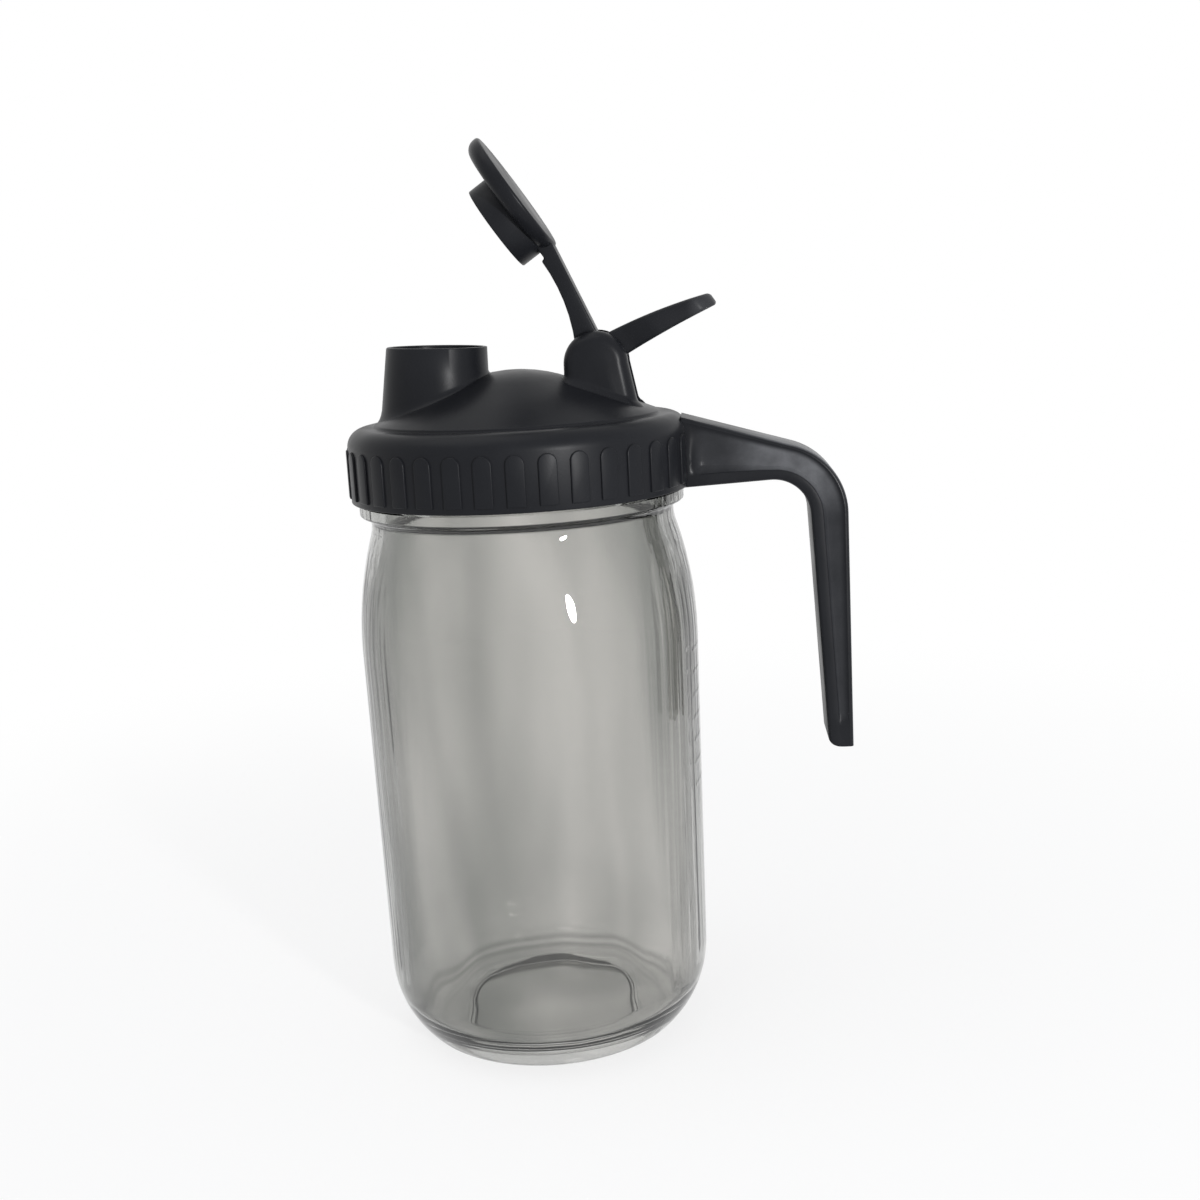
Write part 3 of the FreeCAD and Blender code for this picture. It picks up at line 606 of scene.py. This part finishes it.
# %% Glass jar
JAR_STEPS = 144
WALL_ROWS = 24             # rows of faces up the inner wall, for its waves
WALL_TOP = Vector((43.7, 113.0))
WALL_FOOT = Vector((42.5, 16.5))
FLOOR_TOP = 6.5
INNER_HEEL = 10.0
LIP_INNER, LIP_FOOT = 38.4, 144.88     # the mouth's radius, and the height at which it widens
punt_and_heel = [(0, 2.8), (22.6, 2.16, -400), (24.6, 0.4, 4), (25.4, 0), (32.0, 0), (37.86, 2.56, 8),
                 (45.5, 22, 28.57)]
body_and_waist = [(46.7, 113), (42.02, 143.48, 101.54), (41.4, 147.5, -13.4)]
bead = [(43.6, 149.7, -2.2), (44.4, 150.5, 0.8), (44.4, 152.8), (42.2, 153.6)]
mouth = [(42.2, 169.6), (40.8, 171, 1.4), (39.8, 171), (LIP_INNER, 169.6, 1.4), (LIP_INNER, LIP_FOOT)]
outside = trace(punt_and_heel + body_and_waist + bead + mouth, math.radians(2.5))
shoulder = trace([(LIP_INNER, LIP_FOOT), tuple(WALL_TOP) + (-98.54,)], math.radians(1.2))[1:-1]
wall = run(WALL_TOP, WALL_FOOT, WALL_ROWS)
floor_round = trace([tuple(WALL_FOOT), (WALL_FOOT.x - INNER_HEEL, FLOOR_TOP, -INNER_HEEL), (0, FLOOR_TOP)],
                    math.radians(2.5))
section = outside + shoulder + wall + floor_round
jar = lathe("glass_jar", section, JAR_STEPS)
print("jar section", len(section), "points")

# %% [markdown]
# ## Waves inside the blown wall
# The mould shapes only the outside. Inside, the blown wall keeps slow waves, which bend what is seen
# through it. Three sines round the jar, which drift as they climb, are added to the inner wall alone, and
# they fade out at the heel and at the neck.

# %% Waves inside the blown wall
WAVES = ((7, 0.9, 60, 0.11), (13, 2.1, -45, 0.08), (19, 0.3, 33, 0.05))   # count, start, drift, height
WAVE_LOW, WAVE_HIGH, WAVE_FADE = 17.0, 143.0, 15
for vertex in jar.data.vertices:
    at = vertex.co / MM
    reach = math.hypot(at.x, at.y)
    outer = 46.0 if at.z < WALL_TOP.y else 46.0 - (at.z - WALL_TOP.y) ** 2 / 203
    if WAVE_LOW < at.z < WAVE_HIGH and 36 < reach < outer - 1.2:
        turn = math.atan2(at.y, at.x)
        fade = min(1, (at.z - WAVE_LOW) / WAVE_FADE, (WAVE_HIGH - at.z) / WAVE_FADE)
        wave = sum(height * math.sin(count * turn + start + at.z / drift)
                   for count, start, drift, height in WAVES)
        vertex.co.x += math.cos(turn) * wave * fade * MM
        vertex.co.y += math.sin(turn) * wave * fade * MM
dress(jar, glass, "jar_body", "clear_glass", "jar")

# %% [markdown]
# ## The lid's shell
# The skirt, the shoulder, the deck and the dome are one thin wall, which is turned like the jar.

# %% Sizes that the lid's pieces share
SKIRT = 46.2
SKIRT_EDGE = 153.5
DECK = 173.2
DOME_FOOT = 38.7
DOME_STEP = 0.7
DOME_SLOPE = math.radians(22.3)
DOME_ROUND = 40.0
LID_WALL = 2.0
cone_reach = DOME_ROUND * math.sin(DOME_SLOPE)
cone_top = DECK + DOME_STEP + (DOME_FOOT - cone_reach) * math.tan(DOME_SLOPE)
peak = cone_top + DOME_ROUND * (1 - math.cos(DOME_SLOPE))


def dome(x, y):
    """Height of the dome's outside over a point of the table."""
    reach = math.hypot(x, y)
    if reach < cone_reach:
        return peak - DOME_ROUND + math.sqrt(DOME_ROUND ** 2 - reach ** 2)
    return cone_top - (reach - cone_reach) * math.tan(DOME_SLOPE)


print("dome's peak", round(peak, 1), "mm")

# %% Lid shell
SHOULDER = 4.8
SKIRT_INSIDE = 44.6
LIP = 171.0
SEAT = 37.6
seat_up = DECK + DOME_STEP + (DOME_FOOT - SEAT) * math.tan(DOME_SLOPE) - LID_WALL / math.cos(DOME_SLOPE)
inner_reach = (DOME_ROUND - LID_WALL) * math.sin(DOME_SLOPE)
shell_section = trace([
    (0, peak), (cone_reach, cone_top, -DOME_ROUND), (DOME_FOOT, DECK + DOME_STEP), (DOME_FOOT, DECK),
    (SKIRT - SHOULDER, DECK), (SKIRT, DECK - SHOULDER, -SHOULDER), (SKIRT, SKIRT_EDGE),
    (SKIRT_INSIDE, SKIRT_EDGE), (SKIRT_INSIDE, LIP), (SEAT, LIP), (SEAT, seat_up),
    (inner_reach, cone_top - LID_WALL * math.cos(DOME_SLOPE)),
    (0, peak - LID_WALL, DOME_ROUND - LID_WALL)])
shell = soften(lathe("lid_shell", shell_section, 144), 0.35)

# %% [markdown]
# ## The pouring spout
# A short cone with a 1 mm wall that leans a little to the hinge, with a rim cut nearly square to it. Its
# foot follows the dome and flares into it. It is turned upright about its own axis, and then each
# vertex is moved on to the leaning cone, between the dome and the rim.

# %% Sizes of the hinge and the spout
HINGE = Vector((23.4, 0, 187.6))
CAP_REACH = 44.2
RIM = 193.6
RIM_TILT = math.radians(2.4)
RIM_RADIUS = 13.6
RIM_WALL = 1.1
seal = (RIM - HINGE.z - CAP_REACH * math.sin(RIM_TILT)) / math.cos(RIM_TILT)
SPOUT = HINGE.x - CAP_REACH * math.cos(RIM_TILT) + seal * math.sin(RIM_TILT)
FOOT_LEVEL = DECK - DOME_STEP
DRAFT = math.tan(math.radians(4.0))
LEAN = math.tan(math.radians(4.7))
BLEND = 1.6
FOOT_SINK = 0.4
foot_middle = SPOUT - (RIM - FOOT_LEVEL) * LEAN
foot_radius = RIM_RADIUS + (RIM - FOOT_LEVEL) * DRAFT
print("rim's middle", round(SPOUT, 2), "hinge", tuple(round(value, 1) for value in HINGE))


def cone_point(around, grow, share):
    """Point of the leaning cone: its turn, how far it stands out, and its share of the way to the rim."""
    high, low = RIM_RADIUS + grow, foot_radius + grow
    rim = Vector((SPOUT + high * math.cos(around) * math.cos(RIM_TILT), high * math.sin(around),
                  RIM - high * math.cos(around) * math.sin(RIM_TILT)))
    foot = Vector((foot_middle + low * math.cos(around), low * math.sin(around), FOOT_LEVEL))
    return foot.lerp(rim, share)


def spout_point(around, grow, share):
    """The same, with the share counted from where the wall meets the dome."""
    start = 0.0
    for _ in range(8):
        at = cone_point(around, grow, start)
        start += (dome(at.x, at.y) - FOOT_SINK - at.z) / (RIM - FOOT_LEVEL)
    return cone_point(around, grow, start + share * (1 - start))


# %% Pouring spout
SPOUT_AXIS = 100.0         # it is turned about an axis this far off, and 100 mm high
SPOUT_TALL = 12            # about how far the rim stands over the dome
blend_share = (BLEND + FOOT_SINK) / SPOUT_TALL
spout_section = [Vector(pair) for pair in (
    (-RIM_WALL, 0.0), (BLEND, 0.0), (BLEND * 0.62, 0.1 * blend_share), (BLEND * 0.3, 0.3 * blend_share),
    (BLEND * 0.1, 0.6 * blend_share), (0.0, blend_share), (0.0, 0.5), (0.0, 0.98), (-0.1, 0.993),
    (-0.4, 1.0), (-0.7, 1.0), (-1.0, 0.993), (-RIM_WALL, 0.98), (-RIM_WALL, 0.5))]
upright_section = [Vector((SPOUT_AXIS + point.x, 100 * point.y)) for point in spout_section]
spout = lathe("pour_spout", upright_section, 120, closed=True)
for vertex in spout.data.vertices:
    at = vertex.co / MM
    vertex.co = spout_point(math.atan2(at.y, at.x), math.hypot(at.x, at.y) - SPOUT_AXIS, at.z / 100) * MM
open_up(spout)
tidy(spout)

# %% Bore through the dome
BORE_CLEAR = 0.02          # how far it stands clear of the spout's own inner wall
BORE_LOW = -0.2            # how far below the cone's foot it reaches, as a share of the cone's height
bpy.ops.object.select_all(action="DESELECT")
bpy.ops.mesh.primitive_cylinder_add(vertices=96, radius=MM, depth=MM)
bore = named("bore")
for vertex in bore.data.vertices:
    turn = math.atan2(vertex.co.y, vertex.co.x)
    vertex.co = cone_point(turn, BORE_CLEAR - RIM_WALL, 1.0 if vertex.co.z > 0 else BORE_LOW) * MM
cut(shell, bore)
print("shell", len(shell.data.polygons), "faces after the bore")

# %% [markdown]
# ## Ribs
# Thirty-four upright ribs with round tops give the fingers a hold on the skirt. One is modelled, softened
# and copied round the lid, and none stands where the handle is.

# %% Skirt ribs
RIB_COUNT = 34
RIB_PITCH = 10
FIRST_RIB = 15
RIB_HALF = 2.4
RIB_LOW, RIB_HIGH = SKIRT_EDGE + 1.5, 168.0
rib_outline = trace([(-RIB_HALF, RIB_LOW), (RIB_HALF, RIB_LOW), (RIB_HALF, RIB_HIGH - RIB_HALF),
                     (0, RIB_HIGH, RIB_HALF), (-RIB_HALF, RIB_HIGH - RIB_HALF, RIB_HALF)], math.radians(10))
rib = soften(slab("skirt_ribs", rib_outline, -SKIRT - 0.5, -SKIRT + 0.9), 0.3)
copies = [rib]
for number in range(1, RIB_COUNT):
    copy = rib.copy()
    copy.data = rib.data.copy()
    bpy.context.collection.objects.link(copy)
    copies.append(copy)
bpy.ops.object.select_all(action="DESELECT")
for number, copy in enumerate(copies):
    copy.matrix_world = Matrix.Rotation(math.radians(FIRST_RIB + RIB_PITCH * number + 90), 4, "Z")
    copy.select_set(True)
bpy.context.view_layer.objects.active = rib
bpy.ops.object.join()
settle(rib)
print(len(copies), "ribs")

# %% [markdown]
# ## Hinge ears
# Two ears stand on the dome and carry the flip cap's pins. Their outer sides are crowned and well
# rounded and run into the dome with a small flare. Their inner sides are flat, close to the cap's hub.

# %% Sizes of the ears
EAR_MIDDLE = HINGE.x - 0.8
EAR_TOP = HINGE.z - 0.4
EAR_RADIUS = 8.6
EAR_INSIDE = 5.1
EAR_THICK = 4.2
EAR_FOOT = 33.6
EAR_ROUND = 3.5
EAR_CROWN = ((1.2, 0.20), (1.6, 0.12))     # width and rise of each step of the crown
FLARE = 1.8
FLARE_CUTS = (0.35, 0.8, 1.3, FLARE)       # heights over the dome of the flare's rows
PIN_HOLE, PIN_DEPTH = 2.06, 3.3            # radius of a pin's hole, and how deep it goes
foot_y = EAR_INSIDE + EAR_THICK / 2
slope_normal = Vector((math.sin(DOME_SLOPE), 0, math.cos(DOME_SLOPE)))


# %% One ear
def make_ear(name, side):
    """Side view filled to the ear's thickness, rounded and crowned outside, with a flared foot."""
    left, right = EAR_MIDDLE - EAR_RADIUS, EAR_MIDDLE + EAR_RADIUS
    ear_outline = trace([
        (left, dome(left, foot_y) - 1), (EAR_FOOT, dome(EAR_FOOT, foot_y) - 1), (right, EAR_TOP),
        (EAR_MIDDLE, EAR_TOP + EAR_RADIUS, EAR_RADIUS), (left, EAR_TOP, EAR_RADIUS)])
    inside, outer = EAR_INSIDE * side, (EAR_INSIDE + EAR_THICK) * side
    ear = slab(name, ear_outline, inside, outer)
    open_up(ear, "EDGE")
    pick(ear, "edges", lambda at, item: abs(at.y - outer) < 0.01 and at.z > dome(at.x, foot_y) + 1)
    bpy.ops.mesh.bevel(offset=EAR_ROUND * MM, segments=10, affect="EDGES")
    for width, rise in EAR_CROWN:
        bpy.ops.mesh.select_mode(type="FACE")
        bpy.ops.mesh.select_all(action="DESELECT")
        pick(ear, "faces", lambda at, item: abs(item.normal.y) > 0.999 and abs(at.y) > abs(outer) - 0.01)
        bpy.ops.mesh.inset(thickness=width * MM, depth=rise * MM)
    for height in FLARE_CUTS:
        on_slope = Vector((EAR_MIDDLE, 0, dome(EAR_MIDDLE, foot_y) + height))
        bpy.ops.mesh.select_all(action="SELECT")
        bpy.ops.mesh.bisect(plane_co=on_slope * MM, plane_no=slope_normal)
    tidy(ear)
    for vertex in ear.data.vertices:
        at = vertex.co / MM
        height = max(0.0, at.z - dome(at.x, foot_y))
        if height < FLARE:
            reach = FLARE - math.sqrt(FLARE ** 2 - (FLARE - height) ** 2)
            away = Vector((at.x - EAR_MIDDLE, 1.6 * max(0.0, abs(at.y) - EAR_INSIDE - 0.5) * side, 0))
            if away.length > 2:
                vertex.co += away.normalized() * reach * MM
    bpy.ops.object.select_all(action="DESELECT")
    bpy.ops.mesh.primitive_cylinder_add(vertices=48, radius=PIN_HOLE * MM, depth=2 * PIN_DEPTH * MM,
                                        rotation=(math.pi / 2, 0, 0),
                                        location=(HINGE.x * MM, inside * MM, HINGE.z * MM))
    return cut(ear, settle(named("pin_hole")))


ears = [make_ear("hinge_ear_front", -1), make_ear("hinge_ear_back", 1)]

# %% [markdown]
# ## The handle
# The arm leaves the skirt, slopes down a little and bends into an open-ended grip. Each side is scooped
# out between a broad flange on the hand's side and a thin edge on the outer side, which is how such a
# handle is moulded with an even wall. Its section changes all the way along, so a grid is rolled round the
# section and drawn from station to station.

# %% Sizes of the handle
HANDLE_OUT = 88.2
HANDLE_IN = 77.7
INNER_UP = 154.7
ARM_SLOPE = math.radians(16.7)
UNDER_SLOPE = math.radians(2.6)
GRIP_TAPER = math.radians(2.9)
GRIP_END = 79.8
END_ROUND = 2.8
ARM_TOP = 175.4
BEND_OUTER = 19.5
BEND_INNER = 10.0
HALF_WIDTH = 8.5
ROOT = 44.6            # where the arm starts, inside the skirt
bend_x = HANDLE_OUT - BEND_OUTER
bend_z = ARM_TOP - (bend_x - EAR_FOOT) * math.tan(ARM_SLOPE) - BEND_OUTER / math.cos(ARM_SLOPE)
corner_reach = BEND_INNER * math.tan((math.pi / 2 + UNDER_SLOPE - GRIP_TAPER) / 2)


# %% Inner and outer outlines
def inner_outline(count_arm, count_bend, count_grip, count_end):
    """Points along the hand's side, from the skirt round the bend to the rounded end of the grip."""
    leave = Vector((HANDLE_IN - corner_reach * math.cos(UNDER_SLOPE),
                    INNER_UP - corner_reach * math.sin(UNDER_SLOPE)))
    arrive = Vector((HANDLE_IN + corner_reach * math.sin(GRIP_TAPER),
                     INNER_UP - corner_reach * math.cos(GRIP_TAPER)))
    start = Vector((ROOT, INNER_UP - (HANDLE_IN - ROOT) * math.tan(UNDER_SLOPE)))
    drop = INNER_UP - GRIP_END - END_ROUND
    low = Vector((HANDLE_IN + drop * math.tan(GRIP_TAPER), GRIP_END + END_ROUND))
    centre = leave - Vector((-math.sin(UNDER_SLOPE), math.cos(UNDER_SLOPE))) * BEND_INNER
    points = run(start, leave, count_arm)
    for number in range(count_bend):
        angle = math.pi / 2 + UNDER_SLOPE - (math.pi / 2 + UNDER_SLOPE - GRIP_TAPER) * number / count_bend
        points.append(centre + BEND_INNER * Vector((math.cos(angle), math.sin(angle))))
    points += run(arrive, low, count_grip)
    for number in range(count_end + 1):
        angle = math.pi / 2 * number / count_end
        points.append(low + END_ROUND * Vector((1 - math.cos(angle), -math.sin(angle))))
    return points


def outer_outline(count_arm, count_bend, count_grip, count_end):
    """As many points along the outer side."""
    start = Vector((ROOT, ARM_TOP - (ROOT - EAR_FOOT) * math.tan(ARM_SLOPE)))
    leave = Vector((bend_x + BEND_OUTER * math.sin(ARM_SLOPE), bend_z + BEND_OUTER * math.cos(ARM_SLOPE)))
    low = Vector((HANDLE_OUT, GRIP_END + END_ROUND))
    points = run(start, leave, count_arm)
    for number in range(count_bend):
        angle = (math.pi / 2 - ARM_SLOPE) * (1 - number / count_bend)
        points.append(Vector((bend_x, bend_z)) + BEND_OUTER * Vector((math.cos(angle), math.sin(angle))))
    points += run(Vector((HANDLE_OUT, bend_z)), low, count_grip)
    for number in range(count_end + 1):
        points.append(low - Vector((0, END_ROUND * math.sin(math.pi / 2 * number / count_end))))
    return points


# %% The section and its scoop
FLANGE = 3.2
EDGE = 1.25
SCOOP = 2.5
SCOOP_SLOPE = 0.21     # where the handle is narrow, its scoop is shallower
STEEP = 0.22           # share of the scoop's width where it drops from the flange


def handle_half(wide, depth):
    """Half of the section, from the middle of the inner face to the middle of the outer one."""
    face = HALF_WIDTH
    floor_width = wide - FLANGE - EDGE
    lip = min(0.08, depth)
    points = [(0, 0), (0, face - 1.0), (0.08, face - 0.6), (0.3, face - 0.3), (0.6, face - 0.08),
              (1.0, face), (FLANGE - 0.3, face), (FLANGE - 0.05, face - lip)]
    for share in (0.0, 0.04, 0.1, 0.18, 0.28, 0.4, 0.55, 0.7, 0.82, 0.92, 1.0):
        if share < STEEP:
            drop = math.sin(math.pi / 2 * share / STEEP)
        else:
            drop = 1 - ((share - STEEP) / (1 - STEEP)) ** 1.3
        points.append((FLANGE + floor_width * share, face - lip - (depth - lip) * drop))
    points += [(wide - EDGE + 0.15, face), (wide - 1.0, face), (wide - 0.6, face - 0.08),
               (wide - 0.3, face - 0.3), (wide - 0.08, face - 0.6), (wide, face - 1.0), (wide, 0)]
    return points


# %% Side handle
COUNTS = (34, 22, 60, 8)   # stations along the arm, round the bend, along the grip and round its end
SCOOP_START = 0.3          # millimetres past the skirt
SCOOP_END = GRIP_END + 7.2
COMES_IN, GOES_OUT = 3.5, 1.2      # lengths over which the scoop gets its depth and loses it
rings = []
for start, end in zip(inner_outline(*COUNTS), outer_outline(*COUNTS)):
    wide = (end - start).length
    across = (end - start) / wide
    along = min(1.0, max(0.0, (start.x - SKIRT - SCOOP_START) / COMES_IN))
    above = min(1.0, max(0.0, (start.y - SCOOP_END) / GOES_OUT))
    deep = min(SCOOP, SCOOP_SLOPE * (wide - FLANGE - EDGE))
    half = handle_half(wide, 0.02 + deep * math.sin(along * math.pi / 2) * above)
    loop = [(u, -v) for u, v in half] + [(u, v) for u, v in reversed(half[1:-1])]
    rings.append([Vector((start.x + across.x * u, v, start.y + across.y * u)) for u, v in loop])
handle = rolled("side_handle", rings)

# %% Dress the lid
for piece in (shell, spout, rib, handle, *ears):
    dress(piece, plastic, "jar_body", "black_polypropylene", "lid")

# %% [markdown]
# ## The flip cap
# A disc with a ring-shaped plug, an arm, a hub with two pins and a thumb lever. It is modelled level,
# with its hinge at the origin, and then turned open about the hinge and moved to its place.

# %% Sizes of the flip cap
OPEN_ANGLE = math.radians(56.3)
HUB = 6.6
HUB_WIDTH = 9.6
CAP_CLEAR = 0.3
CAP_THICK = 4.6
CAP_UNDER = seal + CAP_CLEAR
CAP_TOP = CAP_UNDER + CAP_THICK
DISC_RADIUS = 17.2
DISC_FORWARD = 4.4
UNDER_ROUND, TOP_ROUND = 3.2, 0.8


def swing(piece):
    """Turn a level piece open about the hinge, and put it in its place."""
    piece.matrix_world = Matrix.Translation(HINGE * MM) @ Matrix.Rotation(OPEN_ANGLE, 4, "Y")
    return settle(piece)


print("cap from", round(CAP_UNDER, 2), "to", round(CAP_TOP, 2), "mm over the hinge when level")

# %% Disc
bpy.ops.object.select_all(action="DESELECT")
bpy.ops.mesh.primitive_cylinder_add(
    vertices=128, radius=DISC_RADIUS * MM, depth=CAP_THICK * MM,
    location=Vector((-CAP_REACH - DISC_FORWARD, 0, (CAP_UNDER + CAP_TOP) / 2)) * MM)
disc = settle(named("cap_disc"))
for level, size, steps in ((CAP_UNDER, UNDER_ROUND, 9), (CAP_TOP, TOP_ROUND, 5)):
    open_up(disc, "EDGE")
    pick(disc, "edges", lambda at, item: abs(at.z - level) < 0.01)
    bpy.ops.mesh.bevel(offset=size * MM, segments=steps, affect="EDGES")
    tidy(disc)
swing(disc)

# %% Plug
PLUG_OUT, PLUG_IN = 11.9, 10.3
PLUG_LENGTH = 5.9
plug_low = CAP_UNDER - PLUG_LENGTH
plug_high = CAP_UNDER + 0.8
plug = soften(lathe("cap_plug", trace([(PLUG_IN, plug_high), (PLUG_IN, plug_low), (PLUG_OUT, plug_low),
                                       (PLUG_OUT, plug_high)]), 120, closed=True), 0.3)
plug.data.transform(Matrix.Translation(Vector((-CAP_REACH, 0, 0)) * MM))
swing(plug)

# %% Arm
ARM_INTO_DISC = 8.7        # millimetres from the rim's middle to the arm's end inside the disc
ARM_RISE = math.radians(9.5)
merge = -(CAP_REACH - ARM_INTO_DISC)
heel = -(CAP_REACH - RIM_RADIUS - 0.5)
root = 1.15 * HUB
root_turn = math.radians(20)
arm_outline = trace([
    (merge, CAP_UNDER + 0.1), (heel, CAP_UNDER), (heel, CAP_UNDER - 1.0),
    (-root * math.cos(root_turn), -root * math.sin(root_turn), -47.0), (0, 0),
    (0, CAP_TOP + merge * math.tan(ARM_RISE)), (merge, CAP_TOP - 0.01)])
arm = soften(slab("cap_arm", arm_outline, -HUB_WIDTH / 2, HUB_WIDTH / 2), 0.5)
swing(arm)

# %% Hub and pins
PIN, PIN_ENDS = 2.0, 15.6          # radius, and length over both ends
for name, radius, length, edge in (("cap_hub", HUB, HUB_WIDTH, 0.4), ("hinge_pins", PIN, PIN_ENDS, 0.3)):
    bpy.ops.object.select_all(action="DESELECT")
    bpy.ops.mesh.primitive_cylinder_add(vertices=72, radius=radius * MM, depth=length * MM,
                                        rotation=(math.pi / 2, 0, 0))
    swing(soften(settle(named(name)), edge))
hub, pins = bpy.data.objects["cap_hub"], bpy.data.objects["hinge_pins"]

# %% [markdown]
# ## The thumb lever
# The lever grows out of the hub, bends a little backwards and widens to a round tongue for the thumb. It
# too changes its section all the way, so its skin is rolled from ring to ring like the handle's.

# %% Front and back of the lever
LEVER_LENGTH = 34.2
LEVER_END = 7.0
LEVER_START = 3.8
LEVER_LEAN, TIP_THICK = 3.0, 3.5
root = 0.97 * HUB
tip_turn = math.radians(15)
lever_front = trace([(-root * math.cos(math.radians(36)), root * math.sin(math.radians(36))),
                     (LEVER_LEAN, LEVER_LENGTH, -150.0)], math.radians(0.5))
lever_back = trace([(root * math.cos(math.radians(64)), root * math.sin(math.radians(64))),
                    (LEVER_LEAN + TIP_THICK * math.cos(tip_turn),
                     LEVER_LENGTH - TIP_THICK * math.sin(tip_turn), -250.0)], math.radians(0.3))


def across_at(line, height):
    """Where a side line stands at a height, with its ends carried on straight."""
    for low, high in zip(line, line[1:]):
        if low.y <= height <= high.y:
            return low.x + (high.x - low.x) * (height - low.y) / (high.y - low.y)
    end, before = (line[-1], line[-2]) if height > line[-1].y else (line[0], line[1])
    return end.x + (before.x - end.x) * (height - end.y) / (before.y - end.y)


# %% Thumb lever
TONGUE = 1.7               # how much wider than the hub the tongue is on each side
WIDENS_FROM, WIDENS_OVER = 10, 7


def lever_ring(level):
    """Rounded box at a height of the lever."""
    flare = min(1.0, max(0.0, (level - WIDENS_FROM) / WIDENS_OVER))
    half = HUB_WIDTH / 2 + TONGUE * flare
    past = level - (LEVER_LENGTH - LEVER_END)
    if past > 0:
        half = min(half, math.sqrt(max(0.0, LEVER_END ** 2 - past ** 2)))
    near_end = min(1.0, LEVER_LENGTH - level)
    inset = 1.0 - math.sqrt(1 - (1 - near_end) ** 2)
    front, back = across_at(lever_front, level) + inset, across_at(lever_back, level) - inset
    corner = min(1.0, half * 0.9, (back - front) * 0.45)
    loop = []
    corners = ((back - corner, half - corner, 0), (front + corner, half - corner, 90),
               (front + corner, corner - half, 180), (back - corner, corner - half, 270))
    for middle_x, middle_y, first in corners:
        for number in range(5):
            angle = math.radians(first + 22.5 * number)
            loop.append(Vector((middle_x + corner * math.cos(angle),
                                middle_y + corner * math.sin(angle), level)))
    return loop


levels = [LEVER_START + number for number in range(24)] + [
    LEVER_LENGTH - LEVER_END + LEVER_END * math.sin(math.radians(6 * number + 4)) for number in range(14)]
levels = sorted(level for level in levels if level < LEVER_LENGTH - 0.02) + [LEVER_LENGTH - 0.01]
lever = swing(rolled("thumb_lever", [lever_ring(level) for level in levels]))

# %% Dress the flip cap
for piece in (disc, plug, arm, hub, pins, lever):
    dress(piece, plastic, "cap", "black_polypropylene", "flip_cap")
